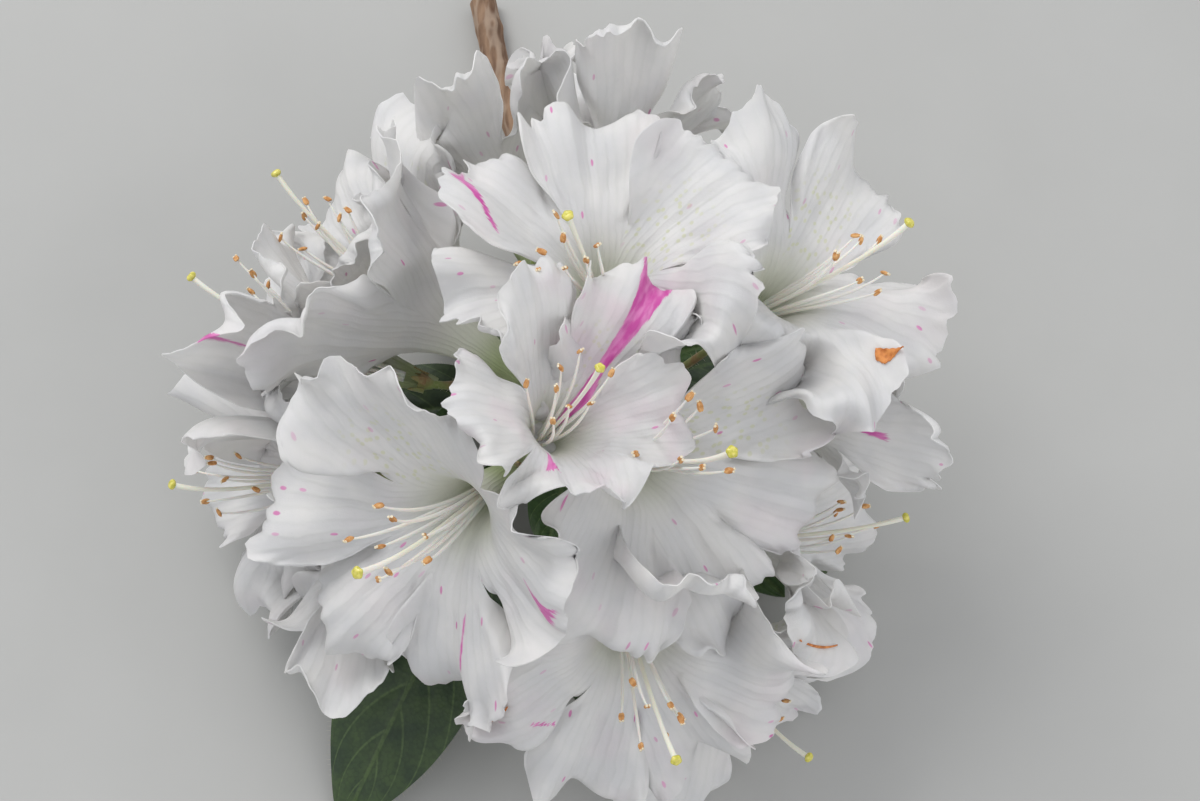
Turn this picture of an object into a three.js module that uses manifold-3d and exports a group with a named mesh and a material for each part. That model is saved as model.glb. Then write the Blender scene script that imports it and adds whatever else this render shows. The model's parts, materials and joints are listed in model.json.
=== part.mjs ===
// A truss of white azalea blooms, cut with a short length of its twig and lying on its leaves.
// Millimetres, +Z up. The blooms are placed about the heart of the truss, the point that their
// stalks spread from, in a frame whose x runs right, y up the truss and z out of its face.
import * as THREE from "three";
import { mergeVertices } from "three/addons/utils/BufferGeometryUtils.js";
import Module from "manifold-3d";

const wasm = await Module();
wasm.setup();

const { degToRad, lerp, clamp } = THREE.MathUtils;

// Stance of the truss
const HEART_HEIGHT = 38;
const LEAN = degToRad(20);
const GAP = 0.35; // clear space between two pieces that touch in life
const REST_HEIGHT = 1.2; // the lowest that a petal's middle surface comes to the ground
const REST_SOFTNESS = 2.5; // how high over that it starts to bend

// Corolla of a full-size bloom, measured along a petal from the foot of the tube
const PETAL_LENGTH = 52;
const NOTCH = 26; // where the petals part
const TUBE_END = 10; // where the slim tube starts to flare
const FLARE_END = 32;
const LIFT_RUN = 8; // how far past the notch a petal takes up its own lift
const CURL_START = 38;
const PETAL_HALF_WIDTH = 17.5;
const PETAL_THICKNESS = 0.8;
const TAPER_START = 0.45; // these two as shares of the free length
const PARTED = 0.3; // where a petal no longer follows the funnel's round
const TAPER_POWER = 2.2;
const TIP_WIDTH_LOSS = 0.5;
const PETAL_SPACING = 0.9; // half the room left between neighbours
const TIP_ROUNDING = 4;
const FOOT_RADIUS = 1.6;
const TUBE_ANGLE = degToRad(10);
const TIP_CURL = degToRad(24);
const SIDE_CURL = 0.012; // how fast a free petal bends across, per mm
const OVERLAP_TILT = 0.14; // each petal lies over one neighbour and under the other
const RUFFLE = 1.4; // height of the waves along the sides
const TIP_RUFFLE = 1.12; // height of those across the tip
const SIDE_WAVES = 1.1;
const TIP_WAVES = 1.4;
const RUFFLE_SEED = 16;
const THROAT_DEPTH = 14; // from the foot of the tube to where the stamens come into sight

// Stamens and pistil of a full-size bloom
const STAMENS = 4;
const STAMEN_LENGTH = 40;
const PISTIL_LENGTH = 50;
const FILAMENT_RADIUS = 0.4;
const ANTHER_RADIUS = 0.9;
const STYLE_RADIUS = 0.5;
const STIGMA_RADIUS = 1.3;
const SPREAD = 9; // how far the stamens' tips stand from the axis
const PISTIL_SPREAD = 2;
const BUTTON_RADIUS = 1.1; // the button at the foot of the tube that they all stand on
const BUTTON_SPAN = [1.6, 3];

// Stalks, shoots and twig
const STALK_RADIUS = 0.9;
const CALYX_RADIUS = 2.3;
const CALYX_LENGTH = 3;
const STALK_START = 0.06; // how far back from a shoot's tip its stalks spring
const SHOOT_RADIUS = 1.7;
const TWIG_RADIUS = 3.2;
const TWIG_HEAD_RADIUS = 2.4;
const TWIG_RINGS = 10;

// Leaves
const LEAF_THICKNESS = 0.8;
const LEAF_FOLD = 0.18; // rise of the blade's sides over its midrib, as a share of its width
const LEAF_STALK_THICKNESS = 1.4;
const LEAF_STALK_ROWS = 2;
const LEAF_STATIONS = [0, 0.1, 0.25, 0.42, 0.6, 0.78, 0.92, 1];
const LEAF_WIDTHS = [0.06, 0.06, 0.55, 0.88, 1, 0.82, 0.42, 0.06]; // at each, as shares of the widest

// throat and faces are in the heart's frame. petals are directions round the bloom's axis, in
// degrees from its right-hand side. open is how far the petals flare from the axis, and lifts
// adds to it petal by petal. reaches are their free lengths, and pistil is the pistil's length,
// as shares of the usual ones. The list runs from the front of the truss to the back.
const BLOOMS = [
  { name: "front", throat: [-4, -7, 52], faces: [0.4, 0.32, 0.86], size: 0.93,
    open: 48, petals: [112, 180, 254, 12, 56], lifts: [-8, 22, 12, 2, -4],
    reaches: [1.1, 0.85, 0.52, 0.74, 1.22], lean: [-5, 2.5], shoot: "middle" },
  { name: "lower_left", throat: [-19, -20, 40], faces: [-0.49, -0.39, 0.78], size: 1.14,
    open: 70, petals: [110, 170, 216, 264, 322], lifts: [-10, 4, 0, 4, -2],
    reaches: [1, 1, 1, 1.05, 0.74], lean: [-2, 2.5], shoot: "low_left" },
  { name: "right_front", throat: [12, -11, 38], faces: [0.46, -0.2, 0.86], size: 1.13,
    open: 70, petals: [28, 350, 304, 250, 120], lifts: [0, 4, 2, -4, -14], lean: [-2, 8], shoot: "middle" },
  { name: "foot", throat: [12, -45, 32], faces: [0.12, -0.66, 0.74], size: 1.04,
    open: 66, petals: [352, 304, 251, 206, 78], lifts: [0, 0, 0, 0, -16], lean: [3, -1.5], shoot: "foot" },
  { name: "top_front", throat: [7, 21, 40], faces: [0.02, 0.5, 0.86], size: 1.05,
    open: 60, petals: [98, 152, 205, 322, 30], lifts: [0, -6, 0, -10, 0], lean: [-9, -6], shoot: "top" },
  { name: "upper_left", throat: [-20, 12, 32], faces: [-0.81, 0.56, -0.1], size: 1.07,
    open: 52, petals: [48, 306, 108, 240, 174], lifts: [-20, -18, -8, -8, 0],
    reaches: [1.1, 1.12, 0.8, 0.8, 0.8], lean: [-3, 0], pistil: 0.74, shoot: "left" },
  { name: "upper_right", throat: [41, 20, 31], faces: [0.5, 0.42, 0.76], size: 1.02,
    open: 66, petals: [100, 57, 320, 272, 196], lifts: [-12, -6, 8, 0, -16],
    reaches: [1, 1, 0.86, 0.9, 1], lean: [8, -1], shoot: "right" },
  { name: "right", throat: [45.5, -3, 26], faces: [0.97, -0.06, -0.15], size: 0.92,
    open: 52, petals: [136, 187, 268, 78, 2], lifts: [-22, -24, -26, -10, 0],
    reaches: [0.95, 1.05, 0.5, 0.8, 0.8], lean: [3, 0], pistil: 0.72, shoot: "right" },
  { name: "low_right", throat: [37, -30, 9], faces: [0.93, 0.02, 0.3], size: 0.98,
    open: 56, petals: [290, 226, 170, 100, 20], lifts: [0, 0, 0, 0, 0], lean: [0, 4], shoot: "right" },
  { name: "foot_right", throat: [28, -51, 5], faces: [0.58, -0.64, 0.44], size: 0.98,
    open: 66, petals: [330, 20, 262, 190, 96], lifts: [0, -4, 0, -12, -14], lean: [2, -2], shoot: "foot" },
  { name: "foot_left", throat: [-42, -30, 13], faces: [-0.2, -0.9, -0.3], size: 0.86,
    open: 50, petals: [306, 8, 244, 72, 162], lifts: [-17, -30, -26, -10, -10],
    reaches: [1.15, 0.7, 0.6, 0.6, 0.6], lean: [-2, 2], shoot: "low_left" },
  { name: "low_left", throat: [-50, -15, 7], faces: [-0.88, -0.12, 0.42], size: 1,
    open: 66, petals: [182, 238, 300, 48, 122], lifts: [0, 0, -4, -14, -10], lean: [-4, 1], shoot: "low_left" },
  { name: "left", throat: [-46, 8, 19], faces: [-0.93, 0.26, 0.05], size: 1.02,
    open: 54, petals: [348, 292, 232, 60, 150], lifts: [-26, -14, 0, -24, 0],
    reaches: [1, 1.05, 0.9, 0.7, 0.8], lean: [0, 7], shoot: "left" },
  { name: "far_left", throat: [-37, 23, 17], faces: [-0.7, 0.64, 0.32], size: 0.98,
    open: 60, petals: [142, 196, 262, 80, 8], lifts: [0, 0, -4, -4, -16], lean: [-2, 1], shoot: "left" },
  { name: "top", throat: [9, 45, 15], faces: [0.1, 0.95, -0.1], size: 0.95,
    open: 52, petals: [135, 78, 194, 20, 258], lifts: [-22, -12, -14, 0, 0],
    reaches: [1.14, 0.85, 0.8, 0.8, 0.8], lean: [3, -3], shoot: "top" },
  { name: "top_left", throat: [-13, 41, 11], faces: [-0.35, 0.9, -0.1], size: 1,
    open: 54, petals: [64, 2, 146, 298, 224], lifts: [-16, -18, -4, -8, 0], lean: [-2, -1], pistil: 0.74,
    shoot: "top" },
];

// Short shoots that fork from the head of the twig, to their tips in the heart's frame
const FORK = [0, 0, -25];
const SHOOTS = {
  middle: [2, -4, 8],
  left: [-14, 7, -2],
  low_left: [-13, -13, -3],
  foot: [6, -22, -2],
  right: [16, 1, -2],
  top: [1, 16, -4],
};

// Course of the twig on the ground, from its cut end to the foot of the fork, measured from
// the point of the ground under the heart
const TWIG_COURSE = [
  [-22, 116, TWIG_RADIUS],
  [-17, 92, TWIG_RADIUS],
  [-8, 66, TWIG_RADIUS],
  [-3, 42, TWIG_RADIUS],
  [-1, 22, 5],
  [0, 11, 10],
];

// foot is in the heart's frame. tip is on the ground, measured as the twig's course is.
const LEAVES = [
  { name: "long", foot: [-9, -14, -14], tip: [-50, -86], width: 30, rise: 14 },
  { name: "front", foot: [1, -4, -23], tip: [4, -60], width: 24, rise: 12 },
  { name: "right", foot: [2, -1, -24], tip: [58, -28], width: 23, rise: 9 },
  { name: "far_right", foot: [2, 1, -25], tip: [56, 26], width: 22, rise: 8 },
  { name: "back_right", foot: [1, 2, -26], tip: [26, 60], width: 20, rise: 8 },
  { name: "back_left", foot: [-1, 2, -26], tip: [-38, 50], width: 21, rise: 8 },
  { name: "left", foot: [-2, 0, -24], tip: [-60, 6], width: 22, rise: 9 },
];

const COLOURS = {
  petal: new THREE.MeshStandardMaterial({ color: 0xf3f1f0, roughness: 0.6, metalness: 0 }),
  stamen: new THREE.MeshStandardMaterial({ color: 0xe9dfc0, roughness: 0.6, metalness: 0 }),
  stalk: new THREE.MeshStandardMaterial({ color: 0x8a9a4a, roughness: 0.7, metalness: 0 }),
  bark: new THREE.MeshStandardMaterial({ color: 0x6b4630, roughness: 0.85, metalness: 0 }),
  leaf: new THREE.MeshStandardMaterial({ color: 0x24381f, roughness: 0.6, metalness: 0 }),
};

const UP = new THREE.Vector3(0, 0, 1);
const X_AXIS = new THREE.Vector3(1, 0, 0);
const Y_AXIS = new THREE.Vector3(0, 1, 0);

function smooth(x) {
  const t = clamp(x, 0, 1);
  return t * t * (3 - 2 * t);
}

// The same number from 0 to 1 for the same keys every time
function chance(...keys) {
  const mixed = Math.sin(keys.reduce((sum, key, i) => sum + key * (12.9898 + 17.113 * i), 0.5));
  return Math.abs(mixed * 43758.5453) % 1;
}

const heartToGround = new THREE.Matrix4()
  .makeRotationX(LEAN)
  .setPosition(0, 0, HEART_HEIGHT);

const fromHeart = (point) => new THREE.Vector3(...point).applyMatrix4(heartToGround);

function bloomFrame(bloom) {
  const axis = new THREE.Vector3(...bloom.faces).normalize();
  const across = Y_AXIS.clone().cross(axis).normalize();
  const upward = axis.clone().cross(across);
  const foot = new THREE.Vector3(...bloom.throat).addScaledVector(axis, -THROAT_DEPTH * bloom.size);
  return new THREE.Matrix4()
    .makeBasis(across, upward, axis)
    .setPosition(foot)
    .premultiply(heartToGround)
    .scale(new THREE.Vector3(bloom.size, bloom.size, bloom.size));
}

// Walks up the middle of a petal a millimetre at a time: radius, height and angle from the axis
function petalProfile(open, lift) {
  const steps = [];
  let radius = FOOT_RADIUS;
  let height = 0;
  for (let y = 0; y <= PETAL_LENGTH; y++) {
    const flare = (degToRad(open) - TUBE_ANGLE) * smooth((y - TUBE_END) / (FLARE_END - TUBE_END));
    const raised = degToRad(lift) * smooth((y - NOTCH) / LIFT_RUN);
    const curl = TIP_CURL * smooth((y - CURL_START) / (PETAL_LENGTH - CURL_START));
    const angle = TUBE_ANGLE + flare + raised + curl;
    steps.push({ radius, height, angle });
    radius += Math.sin(angle);
    height += Math.cos(angle);
  }
  return steps;
}

function onProfile(profile, y) {
  const low = Math.min(Math.floor(y), profile.length - 2);
  const [a, b, t] = [profile[low], profile[low + 1], y - low];
  return {
    radius: lerp(a.radius, b.radius, t),
    height: lerp(a.height, b.height, t),
    angle: lerp(a.angle, b.angle, t),
  };
}

// The petals of a bloom, each with the share of the circle that is its own on either side
function petalsOf(bloom, bloomNumber) {
  const order = bloom.petals.map((degrees, i) => ({ degrees, i })).sort((a, b) => a.degrees - b.degrees);
  return order.map(({ degrees, i }, place) => {
    const after = order[(place + 1) % order.length].degrees;
    const before = order[(place + order.length - 1) % order.length].degrees;
    const halfTurn = (from, to) => degToRad(((to - from + 360) % 360) / 2);
    return {
      azimuth: degToRad(degrees),
      shares: [halfTurn(before, degrees), halfTurn(degrees, after)],
      profile: petalProfile(bloom.open, bloom.lifts[i]),
      reach: bloom.reaches?.[i] ?? 1,
      key: bloomNumber * 7 + i,
    };
  });
}

// How far a petal reaches to one side of its middle. It keeps to its own share of the circle.
function halfWidth(petal, s, free, y) {
  const share = petal.shares[s < 0 ? 0 : 1];
  const room = share * onProfile(petal.profile, y).radius;
  if (free <= 0) return room;
  const taper = 1 - TIP_WIDTH_LOSS * Math.max(0, (free - TAPER_START) / (1 - TAPER_START)) ** TAPER_POWER;
  return Math.min(room - PETAL_SPACING * smooth(free / PARTED), PETAL_HALF_WIDTH * taper);
}

// The waves along a petal's sides and across its tip, as a height over its smooth surface
function ruffle(petal, s, free) {
  const wave = (waves, edge) => Math.sin(2 * Math.PI * (waves + chance(petal.key, edge, RUFFLE_SEED)));
  const alongSide = s * s * smooth(free / 0.5) * wave(SIDE_WAVES * free, s < 0 ? 1 : 2);
  const alongTip = smooth((free - 0.4) / 0.6) * wave(TIP_WAVES * s / 2, 3);
  return RUFFLE * alongSide + TIP_RUFFLE * alongTip;
}

// A point of a petal's middle surface in its bloom's frame. s runs across the petal from -1 to
// 1, and y along it in mm.
function petalPoint(petal, s, y) {
  const free = Math.max(0, (y - NOTCH) / (PETAL_LENGTH - NOTCH));
  const along = y - (1 - petal.reach) * Math.max(0, y - NOTCH);
  const { radius, height, angle } = onProfile(petal.profile, along - TIP_ROUNDING * s * s * free * free);
  const x = s * halfWidth(petal, s, free, along);
  const turned = petal.azimuth + x / radius;
  const tubePoint = new THREE.Vector3(radius * Math.cos(turned), radius * Math.sin(turned), height);

  const outward = new THREE.Vector3(Math.cos(petal.azimuth), Math.sin(petal.azimuth), 0);
  const sideways = new THREE.Vector3(-outward.y, outward.x, 0);
  const normal = outward.clone().multiplyScalar(-Math.cos(angle)).setZ(Math.sin(angle));
  const parted = smooth(free / PARTED);
  const bend = lerp(Math.cos(angle) / radius, SIDE_CURL, parted);
  const lobePoint = outward.clone().multiplyScalar(radius).setZ(height)
    .addScaledVector(sideways, Math.sin(bend * x) / bend)
    .addScaledVector(normal, (1 - Math.cos(bend * x)) / bend)
    .addScaledVector(normal, OVERLAP_TILT * x * parted + ruffle(petal, s, free));
  return tubePoint.lerp(lobePoint, parted);
}

// Bends what would go under the ground so that it lies along it
function restOnGround(point) {
  const over = (point.z - REST_HEIGHT) / REST_SOFTNESS;
  if (over < 20) point.z = REST_HEIGHT + REST_SOFTNESS * Math.log1p(Math.exp(over));
  return point;
}

const TUBE_ROWS = [0, 13];
const TUBE_COLUMNS = [-1, 0];
const NOTCH_COLUMNS = [-1, -0.5, 0, 0.5];
const LOBE_ROWS = [0.27, 0.6, 1].map((share) => lerp(NOTCH, PETAL_LENGTH, share));
const LOBE_COLUMNS = [...NOTCH_COLUMNS, 1];

// Faces between a row of points and the next one out, which may have twice as many
function strip(near, far) {
  const ratio = (far.length - 1) / (near.length - 1);
  const faces = [];
  for (let c = 0; c < near.length - 1; c++) {
    const out = far.slice(c * ratio, (c + 1) * ratio + 1);
    const split = Math.floor(out.length / 2);
    for (let k = 0; k < ratio; k++) faces.push(near[k < split ? c : c + 1], out[k], out[k + 1]);
    if (near[c] !== near[c + 1]) faces.push(near[c], out[split], near[c + 1]);
  }
  return faces;
}

// The middle surface of a corolla, from the foot of its tube out to the petals' edges, with the
// order of the points along its rim
function corollaSheet(bloom, bloomNumber) {
  const frame = bloomFrame(bloom);
  const petals = petalsOf(bloom, bloomNumber);
  const positions = [...new THREE.Vector3().applyMatrix4(frame)];
  const faces = [];
  const rim = [];
  const addRow = (petal, y, columns) => columns.map((s) => {
    const point = restOnGround(petalPoint(petal, s, y).applyMatrix4(frame));
    return positions.push(...point) / 3 - 1;
  });
  const addRing = (y, columns) => {
    const ring = petals.flatMap((petal) => addRow(petal, y, columns));
    return [...ring, ring[0]];
  };
  const rings = TUBE_ROWS.map((y) => addRing(y, TUBE_COLUMNS));
  rings.push(addRing(NOTCH, NOTCH_COLUMNS));
  rings[0].slice(1).forEach((point, i) => faces.push(0, rings[0][i], point));
  for (let r = 0; r < rings.length - 1; r++) faces.push(...strip(rings[r], rings[r + 1]));
  petals.forEach((petal, i) => {
    const first = i * NOTCH_COLUMNS.length;
    const rows = [rings[2].slice(first, first + LOBE_COLUMNS.length)];
    for (const y of LOBE_ROWS) {
      rows.push(addRow(petal, y, LOBE_COLUMNS));
      faces.push(...strip(...rows.slice(-2)));
    }
    const tip = rows.at(-1).slice(1, -1);
    rim.push(...rows.map((row) => row[0]), ...tip, ...rows.slice(1).reverse().map((row) => row.at(-1)));
  });
  return { positions, faces, rim };
}

// A corolla as one closed solid: its middle surface given a thickness
function corollaSolid(bloom, bloomNumber, grown) {
  const { positions, faces, rim } = corollaSheet(bloom, bloomNumber);
  const sheet = new THREE.BufferGeometry()
    .setAttribute("position", new THREE.Float32BufferAttribute(positions, 3))
    .setIndex(faces);
  sheet.computeVertexNormals();
  const count = positions.length / 3;
  const points = Array.from({ length: count }, (_, i) => new THREE.Vector3().fromArray(positions, 3 * i));
  const normals = points.map((_, i) => new THREE.Vector3().fromBufferAttribute(sheet.attributes.normal, i));
  const outwards = rim.map((point, i) => {
    const along = points[rim[(i + 1) % rim.length]].clone().sub(points[rim.at(i - 1)]);
    return along.cross(normals[point]).normalize();
  });
  rim.forEach((point, i) => points[point].addScaledVector(outwards[i], grown));

  const half = PETAL_THICKNESS / 2 + grown;
  const skins = [half, -half].flatMap((height) =>
    points.map((point, i) => point.clone().addScaledVector(normals[i], height)));
  const triangles = [...faces];
  for (let i = 0; i < faces.length; i += 3) {
    triangles.push(faces[i] + count, faces[i + 2] + count, faces[i + 1] + count);
  }
  triangles.push(...strip([...rim, rim[0]], [...rim, rim[0]].map((point) => point + count)));
  const geometry = new THREE.BufferGeometry()
    .setAttribute("position", new THREE.Float32BufferAttribute(skins.flatMap((p) => [...p]), 3))
    .setIndex(triangles);
  return solidOf(geometry);
}

// A closed geometry as a manifold-3d solid, with its shared vertices merged
function solidOf(geometry) {
  const bare = geometry.clone();
  bare.deleteAttribute("normal");
  bare.deleteAttribute("uv");
  const merged = mergeVertices(bare, 1e-3);
  const kept = [];
  const index = merged.index.array;
  for (let i = 0; i < index.length; i += 3) {
    const [a, b, c] = [index[i], index[i + 1], index[i + 2]];
    if (a !== b && b !== c && c !== a) kept.push(a, b, c);
  }
  return new wasm.Manifold(new wasm.Mesh({
    numProp: 3,
    vertProperties: merged.attributes.position.array,
    triVerts: new Uint32Array(kept),
  }));
}

// A rod along a curve. rings lists how far along each ring is, from 0 to 1, and its radius.
// grown is how much it is enlarged all round and at its ends.
function rodSolid(curve, rings, sides, grown) {
  const last = rings.length - 1;
  const geometry = new THREE.CylinderGeometry(1, 1, 1, sides, last);
  const position = geometry.attributes.position;
  for (let i = 0; i < position.count; i++) {
    const ring = Math.round((position.getY(i) + 0.5) * last);
    const [u, radius] = rings[ring];
    const tangent = curve.getTangentAt(u);
    const normal = X_AXIS.clone().addScaledVector(tangent, -tangent.x).normalize();
    const third = normal.clone().cross(tangent);
    const past = (ring === last ? grown : 0) - (ring === 0 ? grown : 0);
    const point = curve.getPointAt(u)
      .addScaledVector(normal, position.getX(i) * (radius + grown))
      .addScaledVector(third, position.getZ(i) * (radius + grown))
      .addScaledVector(tangent, past);
    position.setXYZ(i, point.x, point.y, point.z);
  }
  return solidOf(geometry);
}

// Stamens and pistil, joined at the foot of the tube
function stamenSolid(bloom, bloomNumber, grown) {
  const [bottom, top] = BUTTON_SPAN.map((z) => new THREE.Vector3(0, 0, z));
  let solid = rodSolid(new THREE.LineCurve3(bottom, top), [[0, BUTTON_RADIUS], [1, BUTTON_RADIUS]], 6, grown);
  for (let i = 0; i <= STAMENS; i++) {
    const isPistil = i === STAMENS;
    const turn = 2 * Math.PI * (i / STAMENS + 0.1 * chance(bloomNumber, i, 5));
    const spread = isPistil ? PISTIL_SPREAD : SPREAD * (0.5 + 0.5 * chance(bloomNumber, i, 6));
    const usual = isPistil ? PISTIL_LENGTH : STAMEN_LENGTH * (0.9 + 0.2 * chance(bloomNumber, i, 7));
    const length = isPistil ? usual * (bloom.pistil ?? 1) : usual;
    const outward = new THREE.Vector3(Math.cos(turn), Math.sin(turn), 0);
    const root = outward.clone().multiplyScalar(isPistil ? 0 : 0.6 * BUTTON_RADIUS);
    const tip = outward.clone().multiplyScalar(spread).add(new THREE.Vector3(...bloom.lean, 0));
    const curve = new THREE.CubicBezierCurve3(
      root.clone().setZ(lerp(bottom.z, top.z, 0.6)),
      root.clone().multiplyScalar(2).setZ(THROAT_DEPTH),
      tip.clone().multiplyScalar(0.55).setZ(length * 0.72),
      tip.clone().setZ(length),
    );
    const shaft = isPistil ? STYLE_RADIUS : FILAMENT_RADIUS;
    const head = isPistil ? STIGMA_RADIUS : ANTHER_RADIUS;
    const rings = [[0, 0.6 * shaft], [0.55, shaft], [0.955, head], [1, 0.5 * head]];
    solid = solid.add(rodSolid(curve, rings, 3, grown));
  }
  return solid.transform(bloomFrame(bloom).elements);
}

// The stalk of a bloom with the calyx at its end
function stalkSolid(bloom, grown) {
  const frame = bloomFrame(bloom);
  const axis = new THREE.Vector3().setFromMatrixColumn(frame, 2).normalize();
  const foot = new THREE.Vector3().setFromMatrixPosition(frame);
  const seat = foot.addScaledVector(axis, -PETAL_THICKNESS / 2 - 1.1 * GAP);
  const start = fromHeart(SHOOTS[bloom.shoot]).lerp(fromHeart(FORK), STALK_START);
  const reach = seat.distanceTo(start);
  const curve = new THREE.CubicBezierCurve3(
    start,
    start.clone().lerp(seat, 0.35),
    seat.clone().addScaledVector(axis, -0.35 * reach),
    seat,
  );
  const rings = [
    [0, STALK_RADIUS],
    [0.5, STALK_RADIUS],
    [1 - CALYX_LENGTH / reach, STALK_RADIUS],
    [1, CALYX_RADIUS * bloom.size],
  ];
  return rodSolid(curve, rings, 5, grown);
}

// A shoot with the stalks of its blooms, which spring from just under its tip
function shootSolid(name, grown) {
  const tip = SHOOTS[name];
  const curve = new THREE.QuadraticBezierCurve3(
    fromHeart(FORK),
    fromHeart([tip[0] * 0.62, tip[1] * 0.62, lerp(FORK[2], tip[2], 0.45)]),
    fromHeart(tip),
  );
  const rings = [
    [0, SHOOT_RADIUS],
    [0.5, SHOOT_RADIUS - 0.2],
    [0.92, SHOOT_RADIUS + 0.3],
    [1, 0.7],
  ];
  let solid = rodSolid(curve, rings, 5, grown);
  for (const bloom of BLOOMS) {
    if (bloom.shoot === name) solid = solid.add(stalkSolid(bloom, grown));
  }
  return solid;
}

function twigSolid(grown) {
  const course = TWIG_COURSE.map((point) => new THREE.Vector3(...point));
  const curve = new THREE.CatmullRomCurve3([...course, fromHeart(FORK)]);
  const rings = [];
  for (let i = 0; i <= TWIG_RINGS; i++) {
    const u = i / TWIG_RINGS;
    rings.push([u, lerp(TWIG_RADIUS, TWIG_HEAD_RADIUS, u)]);
  }
  return rodSolid(curve, rings, 8, grown);
}

// A leaf with its stalk: a thin blade folded up a little from its midrib
function leafSolid(leaf, grown) {
  const foot = fromHeart(leaf.foot);
  const tip = new THREE.Vector3(...leaf.tip, LEAF_THICKNESS / 2);
  const crest = foot.clone().lerp(tip, 0.5).add(new THREE.Vector3(0, 0, leaf.rise));
  const curve = new THREE.QuadraticBezierCurve3(foot, crest, tip);
  const last = LEAF_STATIONS.length - 1;
  const geometry = new THREE.BoxGeometry(2, 1, 1, 2, last, 1);
  const position = geometry.attributes.position;
  for (let i = 0; i < position.count; i++) {
    const row = Math.round((position.getY(i) + 0.5) * last);
    const onStalk = row < LEAF_STALK_ROWS;
    const u = LEAF_STATIONS[row];
    const tangent = curve.getTangentAt(u);
    const side = tangent.clone().cross(UP).normalize();
    const normal = side.clone().cross(tangent);
    const s = position.getX(i);
    const half = LEAF_WIDTHS[row] * leaf.width / 2 + grown;
    const thickness = (onStalk ? LEAF_STALK_THICKNESS : LEAF_THICKNESS) + 2 * grown;
    const fold = onStalk ? 0 : LEAF_FOLD * half * Math.abs(s);
    const point = curve.getPointAt(u)
      .addScaledVector(side, s * half)
      .addScaledVector(normal, fold + position.getZ(i) * thickness);
    position.setXYZ(i, point.x, point.y, point.z);
  }
  return solidOf(geometry);
}

const truss = new THREE.Group();
const placed = [];

function apart(a, b) {
  return [0, 1, 2].some((axis) => a.min[axis] > b.max[axis] || a.max[axis] < b.min[axis]);
}

// Adds a piece to the truss, cut clear of the pieces that are already there
function place(name, material, make) {
  let solid = make(0);
  const box = solid.boundingBox();
  for (const other of placed) {
    if (!apart(box, other.box)) solid = solid.subtract(other.grown);
  }
  const pieces = solid.decompose().sort((a, b) => b.volume() - a.volume());
  const grown = make(GAP).add(pieces[0]);
  placed.push({ grown, box: grown.boundingBox() });
  const made = pieces[0].getMesh();
  const geometry = new THREE.BufferGeometry()
    .setAttribute("position", new THREE.BufferAttribute(made.vertProperties, 3))
    .setIndex(new THREE.BufferAttribute(made.triVerts, 1));
  const mesh = new THREE.Mesh(geometry, material.clone());
  mesh.name = name;
  truss.add(mesh);
}

place("twig", COLOURS.bark, twigSolid);
for (const name of Object.keys(SHOOTS)) {
  place(`shoot_${name}`, COLOURS.stalk, (grown) => shootSolid(name, grown));
}
BLOOMS.forEach((bloom, i) => {
  place(`bloom_${bloom.name}`, COLOURS.petal, (grown) => corollaSolid(bloom, i, grown));
});
BLOOMS.forEach((bloom, i) => {
  place(`stamens_${bloom.name}`, COLOURS.stamen, (grown) => stamenSolid(bloom, i, grown));
});
for (const leaf of LEAVES) {
  place(`leaf_${leaf.name}`, COLOURS.leaf, (grown) => leafSolid(leaf, grown));
}

// The origin is on the ground under the middle of the part
const box = new THREE.Box3().setFromObject(truss);
const centre = box.getCenter(new THREE.Vector3());
truss.position.set(-centre.x, -centre.y, -box.min.z);

export default truss;
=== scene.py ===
import json
import math

import bmesh
import bpy
import numpy as np
from mathutils import Matrix, Vector
from mathutils.bvhtree import BVHTree


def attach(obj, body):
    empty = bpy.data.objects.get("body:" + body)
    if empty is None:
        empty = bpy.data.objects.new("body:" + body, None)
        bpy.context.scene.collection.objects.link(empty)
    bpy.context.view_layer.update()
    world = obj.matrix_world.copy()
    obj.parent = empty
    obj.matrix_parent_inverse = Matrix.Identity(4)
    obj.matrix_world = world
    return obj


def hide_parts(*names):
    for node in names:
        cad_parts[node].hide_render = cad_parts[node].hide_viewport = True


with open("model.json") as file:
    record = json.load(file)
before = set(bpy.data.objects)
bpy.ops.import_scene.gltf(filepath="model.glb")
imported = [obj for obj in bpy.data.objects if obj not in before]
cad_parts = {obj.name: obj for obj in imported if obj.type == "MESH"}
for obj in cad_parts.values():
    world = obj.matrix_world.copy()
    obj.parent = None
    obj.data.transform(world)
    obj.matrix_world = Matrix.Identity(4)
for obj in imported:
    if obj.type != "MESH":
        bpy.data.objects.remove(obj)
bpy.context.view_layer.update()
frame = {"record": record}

MM = 0.001

# Stance of the truss
HEART_HEIGHT = 38
LEAN = math.radians(20)
REST_HEIGHT = 1.2
REST_SOFTNESS = 2.5

# Corolla of a full-size bloom, measured along a petal from the foot of the tube
PETAL_LENGTH = 52
NOTCH = 26
TUBE_END = 10
FLARE_END = 32
LIFT_RUN = 8
CURL_START = 38
FOOT_RADIUS = 1.6
TUBE_ANGLE = math.radians(10)
TIP_CURL = math.radians(24)
SIDE_CURL = 0.012
OVERLAP_TILT = 0.15
PARTED = 0.3
THROAT_DEPTH = 14
PROFILE_STEP = 0.25

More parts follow.
